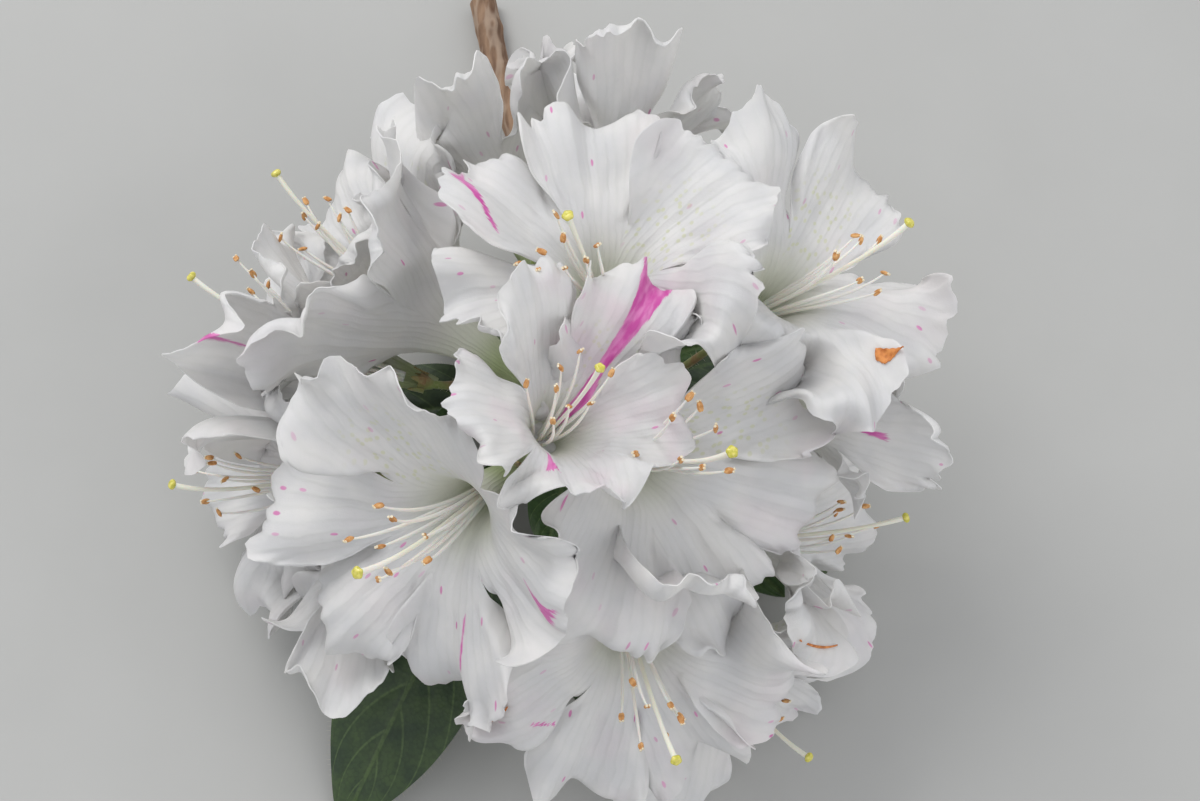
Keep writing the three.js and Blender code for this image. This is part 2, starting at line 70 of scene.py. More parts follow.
# The fine petal
PETAL_COLUMNS = 48
PETAL_ROWS = 56
TUBE_ROWS = 8
PETAL_HALF_WIDTH = 19.5
OVERLAP = 0.36  # how far past its own share of the circle a petal reaches
PETAL_SHEET = 0.24
ROUNDNESS = 0.93  # 1 for a round end, 0 for a square one
LOBES = 0.036  # how much the margin goes in and out, as a share of the petal
JAGS = 0.017
MARGIN_CURL = 0.94  # how far the margin curls, in radians
CURL_BACK = 0.3
CURL_WIDTH = 5.5
MIDRIB = 0.7  # depth of the channel along the middle
MIDRIB_WIDTH = 1.3
CREASE = 0.42
CREASE_WIDTH = 0.05
CREASES = (-0.62, -0.36, -0.17, 0.19, 0.4, 0.66)  # as shares of the way round to either side
CLEARANCE = 0.9  # between a petal and the one that it is pressed under
PRESS_REACH = 15
PRESS_ROUNDS = 60

# Shares of a petal's free length by which it has its own width, laps over its neighbours and waves
FREED = 0.12
LAPPED = 0.45
WAVING = 0.25

# Waves that lift a petal more and more towards its margin: their height, how many of each go round
# its end, the key of their draws, where they start on the way to the margin, and how slowly they
# grow from there. They are the broad ruffles, the fine frill, the crinkled edge and the long folds.
RUFFLES = [
    dict(height=2.7, counts=(2.6, 4.1, 6.3), key=27, start=0.25, power=1.6),
    dict(height=1.05, counts=(8, 13), key=29, start=0.62, power=1.5),
    dict(height=0.2, counts=(27, 41), key=30, start=0.86, power=1),
    dict(height=1.5, counts=(1.3, 2.4), key=35, start=0, power=1.3),
]

# Counts and keys of the waves by which the margin goes in and out, is jagged and torn, and curls
LOBE_WAVES = ((3, 6.5, 11), 25)
JAG_WAVES = ((23, 37), 26)
TORN_WAVES = ((2.2, 5.3), 36)
CURL_WAVES = ((1.9, 3.7, 6.3), 31)

# Stamens and pistil of a full-size bloom
STAMENS = 8
STAMEN_LENGTH = 40
PISTIL_LENGTH = 50
FILAMENT_RADIUS = 0.34
STYLE_RADIUS = 0.46
ANTHER_LENGTH = 2.3
ANTHER_RADIUS = 0.56
STIGMA_RADIUS = 1.12
SPREAD = 9
PISTIL_SPREAD = 2
SAG = 3.4  # how far stamens and pistil dip on the way before their tips turn up
BUTTON_RADIUS = 1.1
BUTTON_SPAN = (1.6, 3)

# Stalks, shoots and twig
STALK_RADIUS = 0.85
CALYX_RADIUS = 2.1
CALYX_LENGTH = 3
SEPALS = 5
SEPAL_LENGTH = 3.4
SEPAL_WIDTH = 2
SEPAL_SHEET = 0.28
STALK_SEAT = 0.785  # from a calyx's end to the foot of its corolla
STALK_START = 0.06
SHOOT_RADIUS = 1.7
TWIG_RADIUS = 3.2
TWIG_HEAD_RADIUS = 2.4
TWIG_LENGTH = 128
TWIG_JOINTS = 6
RIDGE_DEPTH = 0.13
JOINT_DEPTH = 0.6
CUT_SHARE = 0.9  # of the twig's radius, for the wood inside its bark
CUT_SHEET = 0.08

# Leaves
LEAF_SHEET = 0.42
LEAF_FOLD = 0.18
LEAF_STALK_SHARE = 0.12
LEAF_VEINS = 7
LEAF_HAIR = 1.1
STALK_HAIR = 1.2
STALK_HAIRS = 40
HAIR_RADIUS = 0.045
YOUNG_LEAF_RISE = 4
BUD_SCALES = 8
BUD_SCALE_SHEET = 0.16
FALLEN_SCALE_SHEET = 0.14

# Faces round and along each rod, and across and along each sheet but the petals
GRIDS = dict(
    filament=(7, 26), style=(10, 34), stalk=(12, 30), shoot=(22, 60), cup=(20, 12), sepal=(6, 8),
    bud_scale=(6, 8), twig=(40, 260), cut=(40, 14), leaf=(36, 96), young_leaf=(16, 40),
    fallen_scale=(20, 14), fallen_thread=(7, 18),
)

# throat and faces are in the heart's frame. petals are directions round the bloom's axis, in
# degrees from its right-hand side. open is how far the petals flare from the axis, and lifts
# adds to it petal by petal. reaches are their free lengths, and pistil is the pistil's length,
# as shares of the usual ones. The list runs from the front of the truss to the back.
BLOOMS = [
    dict(name="front", throat=(-4, -7, 52), faces=(0.4, 0.32, 0.86), size=0.93, open=48,
         petals=(112, 180, 254, 12, 56), lifts=(-8, 22, 12, 2, -4),
         reaches=(1.1, 0.85, 0.52, 0.74, 1.22), lean=(-5, 2.5), shoot="middle"),
    dict(name="lower_left", throat=(-19, -20, 40), faces=(-0.49, -0.39, 0.78), size=1.14, open=70,
         petals=(110, 170, 216, 264, 322), lifts=(-10, 4, 0, 4, -2),
         reaches=(1, 1, 1, 1.05, 0.74), lean=(-2, 2.5), shoot="low_left"),
    dict(name="right_front", throat=(12, -11, 38), faces=(0.46, -0.2, 0.86), size=1.13, open=70,
         petals=(28, 350, 304, 250, 120), lifts=(0, 4, 2, -4, -14), lean=(-2, 8), shoot="middle"),
    dict(name="foot", throat=(12, -45, 32), faces=(0.12, -0.66, 0.74), size=1.04, open=66,
         petals=(352, 304, 251, 206, 78), lifts=(0, 0, 0, 0, -16), lean=(3, -1.5), shoot="foot"),
    dict(name="top_front", throat=(7, 21, 40), faces=(0.02, 0.5, 0.86), size=1.05, open=60,
         petals=(98, 152, 205, 322, 30), lifts=(0, -6, 0, -10, 0), lean=(-9, -6), shoot="top"),
    dict(name="upper_left", throat=(-20, 12, 32), faces=(-0.81, 0.56, -0.1), size=1.07, open=52,
         petals=(48, 306, 108, 240, 174), lifts=(-20, -18, -8, -8, 0),
         reaches=(1.1, 1.12, 0.8, 0.8, 0.8), lean=(-3, 0), pistil=0.74, shoot="left"),
    dict(name="upper_right", throat=(41, 20, 31), faces=(0.5, 0.42, 0.76), size=1.02, open=66,
         petals=(100, 57, 320, 272, 196), lifts=(-12, -6, 8, 0, -16),
         reaches=(1, 1, 0.86, 0.9, 1), lean=(8, -1), shoot="right"),
    dict(name="right", throat=(45.5, -3, 26), faces=(0.97, -0.06, -0.15), size=0.92, open=52,
         petals=(136, 187, 268, 78, 2), lifts=(-22, -24, -26, -10, 0),
         reaches=(0.95, 1.05, 0.5, 0.8, 0.8), lean=(3, 0), pistil=0.72, shoot="right"),
    dict(name="low_right", throat=(37, -30, 9), faces=(0.93, 0.02, 0.3), size=0.98, open=56,
         petals=(290, 226, 170, 100, 20), lifts=(0, 0, 0, 0, 0), lean=(0, 4), shoot="right"),
    dict(name="foot_right", throat=(28, -51, 5), faces=(0.58, -0.64, 0.44), size=0.98, open=66,
         petals=(330, 20, 262, 190, 96), lifts=(0, -4, 0, -12, -14), lean=(2, -2), shoot="foot"),
    dict(name="foot_left", throat=(-42, -30, 13), faces=(-0.2, -0.9, -0.3), size=0.86, open=50,
         petals=(306, 8, 244, 72, 162), lifts=(-17, -30, -26, -10, -10),
         reaches=(1.15, 0.7, 0.6, 0.6, 0.6), lean=(-2, 2), shoot="low_left"),
    dict(name="low_left", throat=(-50, -15, 7), faces=(-0.88, -0.12, 0.42), size=1, open=66,
         petals=(182, 238, 300, 48, 122), lifts=(0, 0, -4, -14, -10), lean=(-4, 1), shoot="low_left"),
    dict(name="left", throat=(-46, 8, 19), faces=(-0.93, 0.26, 0.05), size=1.02, open=54,
         petals=(348, 292, 232, 60, 150), lifts=(-26, -14, 0, -24, 0),
         reaches=(1, 1.05, 0.9, 0.7, 0.8), lean=(0, 7), shoot="left"),
    dict(name="far_left", throat=(-37, 23, 17), faces=(-0.7, 0.64, 0.32), size=0.98, open=60,
         petals=(142, 196, 262, 80, 8), lifts=(0, 0, -4, -4, -16), lean=(-2, 1), shoot="left"),
    dict(name="top", throat=(9, 45, 15), faces=(0.1, 0.95, -0.1), size=0.95, open=52,
         petals=(135, 78, 194, 20, 258), lifts=(-22, -12, -14, 0, 0),
         reaches=(1.14, 0.85, 0.8, 0.8, 0.8), lean=(3, -3), shoot="top"),
    dict(name="top_left", throat=(-13, 41, 11), faces=(-0.35, 0.9, -0.1), size=1, open=54,
         petals=(64, 2, 146, 298, 224), lifts=(-16, -18, -4, -8, 0), lean=(-2, -1), pistil=0.74,
         shoot="top"),
]

# Pink streaks by bloom and petal: from (x, y) to (x, y) in mm across and along the petal, with
# half the width at either end
STREAKS = {
    "front": [
        (4, (-1, 12), (-1, 58), 0.8, 5), (4, (-2.2, 15), (-1.4, 29), 1.9, 0.5),
        (2, (-3, 24), (-2, 30), 0.4, 1.6),
    ],
    "lower_left": [(4, (4, 35), (3, 44), 0.3, 3), (3, (3, 33), (2, 43), 0.35, 0.4)],
    "top_front": [(1, (7, 38), (1, 50), 0.5, 2.4)],
    "foot": [(3, (7, 36), (3, 40), 0.4, 0.5)],
    "right": [(1, (0, 27), (2, 37), 0.5, 1)],
    "left": [(0, (1, 40), (3, 54), 0.3, 2.4), (1, (0, 30), (1, 36), 0.3, 0.5)],
}

# How much of a pink blush the blooms have that have more than a trace
BLUSH = {"front": 0.4, "right_front": 0.16, "foot": 0.14}

# Direction of the petal with the guiding specks, and how far a bloom is turned to the viewer at
# least that shows them
GUIDE_AZIMUTH = 60
GUIDE_FACING = 0.25
GUIDE_TINT = 0.42

# Short shoots that fork from the head of the twig, to their tips in the heart's frame
FORK = (0, 0, -25)
SHOOTS = {
    "middle": (2, -4, 8),
    "left": (-14, 7, -2),
    "low_left": (-13, -13, -3),
    "foot": (6, -22, -2),
    "right": (16, 1, -2),
    "top": (1, 16, -4),
}

# Course of the twig on the ground, from its cut end to the foot of the fork, measured from the
# point of the ground under the heart
TWIG_COURSE = [
    (-22, 116, TWIG_RADIUS),
    (-17, 92, TWIG_RADIUS),
    (-8, 66, TWIG_RADIUS),
    (-3, 42, TWIG_RADIUS),
    (-1, 22, 5),
    (0, 11, 10),
]

# foot is in the heart's frame. tip is on the ground, measured as the twig's course is.
LEAVES = [
    dict(name="long", foot=(-9, -14, -14), tip=(-50, -86), width=30, rise=14),
    dict(name="front", foot=(1, -4, -23), tip=(4, -60), width=24, rise=12),
    dict(name="right", foot=(2, -1, -24), tip=(58, -28), width=23, rise=9),
    dict(name="far_right", foot=(2, 1, -25), tip=(56, 26), width=22, rise=8),
    dict(name="back_right", foot=(1, 2, -26), tip=(26, 60), width=20, rise=8),
    dict(name="back_left", foot=(-1, 2, -26), tip=(-38, 50), width=21, rise=8),
    dict(name="left", foot=(-2, 0, -24), tip=(-60, 6), width=22, rise=9),
]

# Feet, tips and widths of the small leaves among the stalks, in the heart's frame
YOUNG_LEAVES = [
    ((1, -8, -10), (-5, -33, 6), 13),
    ((3, -6, -9), (21, -30, 2), 11),
    ((-4, -3, -9), (-30, -5, 4), 11),
    ((-4, 6, -11), (-25, 30, 2), 11),
    ((4, 4, -10), (31, 12, 5), 12),
    ((0, 8, -13), (-4, 35, 0), 11),
    ((-6, -10, -11), (-27, -30, 2), 11),
    ((5, 8, -12), (22, 34, 1), 11),
    ((6, -7, -12), (47, -43, -4), 16),
]

# Camera, which looks down on the truss
CAMERA_ELEVATION = math.radians(70)
CAMERA_DISTANCE = 600
LENS = 82.8
SENSOR_WIDTH = 36
AIM_RIGHT = 6.52
AIM_UP = -0.11

# Lights and floor, in metres and watts
LIGHTS = [
    dict(name="key", place=(-0.4, 0.5, 0.85), size=0.6, watts=5.8, colour=(1, 0.99, 0.97)),
    dict(name="fill", place=(0.8, -0.5, 0.7), size=0.9, watts=2.6, colour=(1, 0.99, 0.98)),
]
LIT_PLACE = (0, 0, 0.06)
SKY_COLOUR = (0.95, 0.97, 1, 1)
SKY_STRENGTH = 0.72
FLOOR_REACH = 3

# Finishes with clouds of two tints under a fine grain. clouds has their size and detail, and where
# one tint ends and the other starts. grain has its size, its detail and its depth. specks has
# where the grain's specks start and end, their share, and their tint.
MOTTLED = {
    "filament": dict(
        clouds=(12, 2, 0.35, 0.65), tints=((0.87, 0.86, 0.82, 1), (0.90, 0.86, 0.78, 1)),
        grain=(0.3, 2, 0.03), roughness=0.42, Subsurface_Weight=0.2, Subsurface_Scale=0.001,
    ),
    "anther": dict(
        clouds=(0.9, 3, 0.3, 0.7), tints=((0.50, 0.21, 0.06, 1), (0.78, 0.44, 0.18, 1)),
        grain=(0.16, 2, 0.08), roughness=0.7,
    ),
    "anther pore": dict(
        clouds=(0.14, 2, 0.4, 0.6), tints=((0.80, 0.66, 0.42, 1), (0.90, 0.84, 0.68, 1)),
        grain=(0.14, 2, 0.04), roughness=0.75,
    ),
    "style": dict(
        clouds=(14, 2, 0.3, 0.7), tints=((0.84, 0.84, 0.70, 1), (0.89, 0.87, 0.79, 1)),
        grain=(0.3, 2, 0.03), roughness=0.38, Subsurface_Weight=0.2, Subsurface_Scale=0.001,
    ),
    "stigma": dict(
        clouds=(0.8, 2, 0.35, 0.65), tints=((0.56, 0.52, 0.06, 1), (0.78, 0.70, 0.16, 1)),
        grain=(0.2, 2, 0.06), roughness=0.25, Coat_Weight=0.4,
    ),
    "stalk": dict(
        clouds=(5, 3, 0.35, 0.7), tints=((0.24, 0.32, 0.09, 1), (0.33, 0.20, 0.09, 1)),
        grain=(0.7, 3, 0.12), specks=(0.4, 0.8, 0.4, (0.5, 0.52, 0.25, 1)), roughness=0.62,
        Sheen_Weight=0.3,
    ),
    "shoot bark": dict(
        clouds=(4, 4, 0.3, 0.7), tints=((0.16, 0.085, 0.04, 1), (0.30, 0.22, 0.09, 1)),
        grain=(0.5, 3, 0.25), specks=(0.45, 0.75, 0.5, (0.36, 0.24, 0.14, 1)), roughness=0.75,
    ),
    "bud scale": dict(
        clouds=(1.4, 3, 0.3, 0.7), tints=((0.22, 0.09, 0.03, 1), (0.52, 0.25, 0.09, 1)),
        grain=(0.3, 2, 0.1), roughness=0.6,
    ),
    "fallen scale": dict(
        clouds=(1.4, 3, 0.3, 0.7), tints=((0.46, 0.13, 0.025, 1), (0.76, 0.30, 0.08, 1)),
        grain=(0.3, 2, 0.1), roughness=0.6,
    ),
    "hair": dict(
        clouds=(3, 2, 0.35, 0.65), tints=((0.55, 0.50, 0.36, 1), (0.72, 0.69, 0.58, 1)),
        roughness=0.6,
    ),
}

# Upper and lower face of a leaf: two tints in clouds, and the tint of its veins
BLADE = ((0.018, 0.042, 0.014, 1), (0.04, 0.075, 0.02, 1), (0.10, 0.16, 0.05, 1))
UNDERSIDE = ((0.10, 0.15, 0.07, 1), (0.14, 0.19, 0.09, 1), (0.24, 0.29, 0.14, 1))
YOUNG_BLADE = ((0.035, 0.09, 0.02, 1), (0.06, 0.13, 0.03, 1), (0.14, 0.22, 0.07, 1))
YOUNG_UNDERSIDE = ((0.12, 0.18, 0.08, 1), (0.15, 0.22, 0.1, 1), (0.2, 0.27, 0.12, 1))

# Where withered bits lie on the petals, as pixels of the photograph
PHOTO_SIZE = (1200, 801)
SCALE_PIXEL = (892, 354)
THREAD_PIXELS = [
    [(800, 640), (818, 651), (836, 646)],
    [(508, 706), (500, 717), (492, 722)],
]


# Numbers


def smooth(x):
    t = np.clip(x, 0, 1)
    return t * t * (3 - 2 * t)


def lerp(a, b, t):
    return a + (b - a) * t


def chance(*keys):
    """The same number from 0 to 1 for the same keys every time"""
    mixed = math.sin(sum(key * (12.9898 + 17.113 * i) for i, key in enumerate(keys)) + 0.5)
    return abs(mixed * 43758.5453) % 1


def between(low, high, *keys):
    return lerp(low, high, chance(*keys))


# Places

cut_end = next(mount for mount in frame["record"]["mounts"] if mount["name"] == "cut_end")
origin_shift = Vector(cut_end["pos_m"]) / MM - Vector(TWIG_COURSE[0])
to_part = Matrix.Scale(MM, 4) @ Matrix.Translation(origin_shift)
heart_to_ground = Matrix.Translation((0, 0, HEART_HEIGHT)) @ Matrix.Rotation(LEAN, 4, "X")


def from_heart(point):
    return heart_to_ground @ Vector(point)


def bloom_frame(bloom):
    axis = Vector(bloom["faces"]).normalized()
    across = Vector((0, 1, 0)).cross(axis).normalized()
    upward = axis.cross(across)
    foot = Vector(bloom["throat"]) - axis * THROAT_DEPTH * bloom["size"]
    turned = Matrix((across, upward, axis)).transposed().to_4x4()
    return heart_to_ground @ Matrix.Translation(foot) @ turned @ Matrix.Scale(bloom["size"], 4)


def moved(points, matrix):
    """Points as rows of an array, moved by a matrix"""
    rows = np.array(matrix)
    return points @ rows[:3, :3].T + rows[:3, 3]


def rest_on_ground(points):
    """Bends what would go under the ground so that it lies along it"""
    over = np.minimum((points[..., 2] - REST_HEIGHT) / REST_SOFTNESS, 20)
    eased = REST_HEIGHT + REST_SOFTNESS * np.log1p(np.exp(over))
    points[..., 2] = np.where(over < 20, eased, points[..., 2])
    return points


# Shader values


class Value:
    """A number on a node's socket. Arithmetic on it adds Math nodes."""

    def __init__(self, finish, socket):
        self.finish = finish
        self.socket = socket

    def math(self, operation, *others):
        inputs = dict(enumerate((self, *others)))
        return self.finish.node("ShaderNodeMath", dict(operation=operation), inputs)

    def __add__(self, other):
        return self.math("ADD", other)

    __radd__ = __add__

    def __sub__(self, other):
        return self.math("SUBTRACT", other)

    def __rsub__(self, other):
        return self.finish.node("ShaderNodeMath", dict(operation="SUBTRACT"), {0: other, 1: self})

    def __mul__(self, other):
        return self.math("MULTIPLY", other)

    __rmul__ = __mul__

    def __truediv__(self, other):
        return self.math("DIVIDE", other)

    def __pow__(self, other):
        return self.math("POWER", other)

    def between(self, low, high):
        """Rises smoothly from 0 at low to 1 at high, or falls where low is the larger"""
        limits = {"From Min": low, "From Max": high}
        settings = dict(interpolation_type="SMOOTHSTEP")
        return self.finish.node("ShaderNodeMapRange", settings, {"Value": self, **limits})


class Finish:
    """A material and its nodes"""

    def __init__(self, name):
        self.material = bpy.data.materials.new(name)
        self.material.use_nodes = True
        self.tree = self.material.node_tree
        self.tree.nodes.clear()

    def node(self, kind, settings=None, inputs=None, output=0):
        made = self.tree.nodes.new(kind)
        for name, setting in (settings or {}).items():
            setattr(made, name, setting)
        for name, value in (inputs or {}).items():
            if isinstance(value, Value):
                self.tree.links.new(value.socket, made.inputs[name])
            else:
                made.inputs[name].default_value = value
        return Value(self, made.outputs[output])

    def place(self):
        """Object coordinates in millimetres"""
        coordinates = self.node("ShaderNodeTexCoord", output="Object")
        return self.scaled(coordinates, (1 / MM,) * 3)

    def scaled(self, vector, factors):
        return self.node("ShaderNodeVectorMath", dict(operation="MULTIPLY"), {0: vector, 1: factors})

    def attribute(self, name):
        return self.node("ShaderNodeAttribute", dict(attribute_name=name), output="Vector")

    def parts(self, vector):
        split = self.node("ShaderNodeSeparateXYZ", inputs={0: vector}).socket.node
        return [Value(self, socket) for socket in split.outputs]

    def vector(self, x, y, z=0.0):
        return self.node("ShaderNodeCombineXYZ", inputs={0: x, 1: y, 2: z})

    def noise(self, vector, size, detail=3, roughness=0.5):
        """Clouds with spots of about that size, from 0 to 1"""
        inputs = {"Vector": vector, "Scale": 1 / size, "Detail": detail, "Roughness": roughness}
        return self.node("ShaderNodeTexNoise", dict(noise_dimensions="3D"), inputs)

    def cells(self, vector, size, dimensions="3D"):
        """The distance from the nearest of many scattered points, and a chance for each point"""
        inputs = {"Vector": vector, "Scale": 1 / size}
        distance = self.node("ShaderNodeTexVoronoi", dict(voronoi_dimensions=dimensions), inputs)
        colour = Value(self, distance.socket.node.outputs["Color"])
        return distance, self.parts(colour)[0]

    def blend(self, share, first, second):
        """From one colour to another as share goes from 0 to 1"""
        return self.node("ShaderNodeMix", dict(data_type="RGBA"), {0: share, 6: first, 7: second}, 2)

    def bump(self, height, distance):
        return self.node("ShaderNodeBump", inputs={"Height": height, "Distance": distance * MM})

    def surface(self, colour, roughness, normal=None, **constants):
        inputs = {"Base Color": colour, "Roughness": roughness}
        if normal is not None:
            inputs["Normal"] = normal
        inputs.update((name.replace("_", " "), value) for name, value in constants.items())
        return self.node("ShaderNodeBsdfPrincipled", inputs=inputs)

    def done(self, shader):
        output = self.tree.nodes.new("ShaderNodeOutputMaterial")
        self.tree.links.new(shader.socket, output.inputs["Surface"])
        return self.material


def mottled_finish(name, look=None):
    """The finish that MOTTLED lists under its own name or another's"""
    return mottled(name, **MOTTLED[look or name])


def mottled(name, clouds, tints, roughness, grain=None, specks=None, **constants):
    finish = Finish(name)
    place = finish.place()
    size, detail, low, high = clouds
    colour = finish.blend(finish.noise(place, size, detail).between(low, high), *tints)
    normal = None
    if grain:
        size, detail, depth = grain
        fine = finish.noise(place, size, detail)
        normal = finish.bump(fine, depth)
    if specks:
        low, high, share, tint = specks
        colour = finish.blend(fine.between(low, high) * share, colour, tint)
    return finish.done(finish.surface(colour, roughness, normal, **constants))


# Meshes


def sheet(bm, columns, rows, place, layer=None):
    """Adds a grid of faces, bent so that place(u, v) gives its points for u and v from 0 to 1.
    Where there is a layer, place also gives what it keeps for each point."""
    made = bmesh.ops.create_grid(bm, x_segments=columns, y_segments=rows, size=0.5)["verts"]
    flat = np.array([vertex.co for vertex in made]) + 0.5
    points = place(flat[:, 0], flat[:, 1])
    if layer is not None:
        points, kept = points
        for vertex, value in zip(made, kept):
            vertex[layer] = value
    for vertex, point in zip(made, points):
        vertex.co = point
    return made


def mesh_of(name, bm):
    mesh = bpy.data.meshes.new(name)
    bm.to_mesh(mesh)
    bm.free()
    return mesh


def in_scene(name, data):
    made = bpy.data.objects.new(name, data)
    bpy.context.scene.collection.objects.link(made)
    return made


def put_in_order(bm):
    """Sorts points and faces by their places, where Blender makes them in another order each run"""
    places = (bm.verts, lambda vertex: vertex.co), (bm.faces, lambda face: face.calc_center_median())
    for parts, place in places:
        ranked = sorted(parts, key=lambda part: tuple(place(part)))
        ranks = {part: rank for rank, part in enumerate(ranked)}
        parts.sort(key=ranks.get)


def looks_down(bm):
    return sum(face.normal.z * face.calc_area() for face in bm.faces) < 0


def finished(name, bm, materials, slot, replaces=(), thickness=0):
    """Makes a piece of a bmesh in the plant's millimetres and seats it on the truss"""
    bmesh.ops.transform(bm, matrix=to_part, verts=bm.verts)
    bmesh.ops.recalc_face_normals(bm, faces=bm.faces)
    if slot == "leaf" and thickness and looks_down(bm):
        bmesh.ops.reverse_faces(bm, faces=bm.faces)
    for face in bm.faces:
        face.smooth = True
    piece = in_scene(name, mesh_of(name, bm))
    for material in materials:
        piece.data.materials.append(material)
    if thickness:
        solidify = piece.modifiers.new("thickness", "SOLIDIFY")
        solidify.thickness = thickness * MM
        solidify.offset = 0
        solidify.material_offset = len(materials) - 1
    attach(piece, "root")
    if replaces:
        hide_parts(*replaces)


def crisp_margins(bm):
    """Shades a sheet's faces as one, but not round its margins"""
    for edge in bm.edges:
        edge.smooth = not edge.is_boundary


# Petals


class Petal:
    """One petal of a bloom: where it stands and how its fine sheet bends"""

    def __init__(self, bloom, number, index, shares):
        self.index = index
        self.key = number * 7 + index
        self.azimuth = math.radians(bloom["petals"][index])
        self.reach = bloom.get("reaches", (1,) * 5)[index]
        self.shares = shares
        self.side_curl = SIDE_CURL + between(-0.012, 0.014, self.key, 21)
        self.follow_profile(bloom["open"], bloom["lifts"][index])

    def follow_profile(self, opening, lift):
        """Walks up the middle of the petal and keeps its radius, height and angle from the axis"""
        y = np.arange(0, PETAL_LENGTH + 10, PROFILE_STEP)
        flare = (math.radians(opening) - TUBE_ANGLE) * smooth((y - TUBE_END) / (FLARE_END - TUBE_END))
        raised = math.radians(lift) * smooth((y - NOTCH) / LIFT_RUN)
        tip_curl = TIP_CURL * between(0.5, 2.4, self.key, 22)
        curl = tip_curl * smooth((y - CURL_START) / (PETAL_LENGTH - CURL_START))
        self.along = y
        self.angles = TUBE_ANGLE + flare + raised + curl
        out, up = np.sin(self.angles), np.cos(self.angles)
        self.radii = FOOT_RADIUS + PROFILE_STEP * (np.cumsum(out) - out)
        self.heights = PROFILE_STEP * (np.cumsum(up) - up)

    def on_profile(self, y):
        tables = (self.radii, self.heights, self.angles)
        return [np.interp(y, self.along, table) for table in tables]

    def half_width(self, s, free, y):
        """How far the petal reaches to one side of its middle, over its neighbours once it is free"""
        share = np.where(s < 0, self.shares[0], self.shares[1])
        own = share * self.on_profile(y)[0]
        reach = own * (1 + OVERLAP * smooth(free / LAPPED))
        widest = PETAL_HALF_WIDTH * between(0.92, 1.08, self.key, 23)
        softness = 1.5
        freed = -softness * np.log(np.exp(-reach / softness) + np.exp(-widest / softness))
        return lerp(own, freed, smooth(free / FREED))

    def waves(self, turn, counts, key):
        """Waves round the petal's end, for turn from -1 to 1 round it"""
        total = 0
        for i, count in enumerate(counts):
            number = count * between(0.8, 1.2, self.key, key, i)
            phase = chance(self.key, key + 1, i)
            total = total + np.sin(2 * math.pi * (number * turn / 2 + phase)) / (1 + 0.5 * i)
        return total

    def points(self, across, up):
        """The petal's sheet in its bloom's frame, for across and up from 0 to 1, and for each point
        how far across and along the petal it is, with the petal's index"""
        s = 2 * across - 1
        s = s * (1.22 - 0.22 * s * s)  # the columns crowd towards the margins
        tube_share = TUBE_ROWS / PETAL_ROWS
        reached = np.clip((up - tube_share) / (1 - tube_share), 0, 1)
        free = reached * np.sqrt(1 - ROUNDNESS * s * s / 2)
        end = lerp(NOTCH, PETAL_LENGTH, self.reach)
        y = np.where(up < tube_share, NOTCH * up / tube_share, lerp(NOTCH, end, free))
        x = s * np.sqrt(1 - ROUNDNESS * reached**2 / 2) * self.half_width(s, free, y)

        # The margin goes in and out, with jags where it is torn and a point at the petal's tip
        turn = np.arctan2(x, free * (PETAL_LENGTH - NOTCH) + 5) / (math.pi / 2)
        edge = np.minimum((np.abs(s) ** 6 + reached**6) ** (1 / 6), 1)
        point = between(-0.6, 2.6, self.key, 24) * np.exp(-((turn / 0.13) ** 2))
        torn = JAGS * np.clip(0.35 + self.waves(turn, *TORN_WAVES), 0, 2)
        lobes = LOBES * self.waves(turn, *LOBE_WAVES) + torn * self.waves(turn, *JAG_WAVES)
        rim = smooth((edge - 0.5) / 0.5) * smooth(free / 0.5)
        y = y + rim * (point + lobes * (y - NOTCH + 4))
        x = x * (1 + rim * lobes)

        opened = smooth(free / WAVING)
        height = 0
        for ruffle in RUFFLES:
            growth = np.clip((edge - ruffle["start"]) / (1 - ruffle["start"]), 0, 1) ** ruffle["power"]
            waves = self.waves(turn, ruffle["counts"], ruffle["key"])
            height = height + ruffle["height"] * (waves * growth)
        height = opened * height

        # The margin curls forwards and back
        from_notch = np.hypot(x, y - NOTCH) + 1e-6
        past_fold = np.maximum(CURL_WIDTH - from_notch * (1 - edge) / np.maximum(edge, 1e-3), 0)
        curl = opened * (MARGIN_CURL * (self.waves(turn, *CURL_WAVES) - CURL_BACK)) / CURL_WIDTH
        curl = np.where(np.abs(curl) < 1e-4, 1e-4, curl)
        drawn_in = (past_fold - np.sin(curl * past_fold) / curl) / from_notch
        height = height + (1 - np.cos(curl * past_fold)) / curl
        y = y - drawn_in * np.maximum(y - NOTCH, 0)
        x = x * (1 - drawn_in)

        radius, level, angle = self.on_profile(y)
        midrib = MIDRIB * np.exp(-((x / MIDRIB_WIDTH) ** 2)) * smooth((y - 8) / 12)
        creases = 0
        for i, centre in enumerate(CREASES):
            centre = centre + between(-0.07, 0.07, self.key, 33, i)
            depth = between(0.2, 1, self.key, 34, i) * (1 if i % 2 else -1)
            creases = creases + depth * np.exp(-(((turn - centre) / CREASE_WIDTH) ** 2))
        height = height - midrib + CREASE * creases * opened

        # The foot of the petal is its share of the tube's wall
        turned = self.azimuth + x / radius
        wall = radius - height * (1 - opened)
        tube = np.stack([wall * np.cos(turned), wall * np.sin(turned), level], -1)

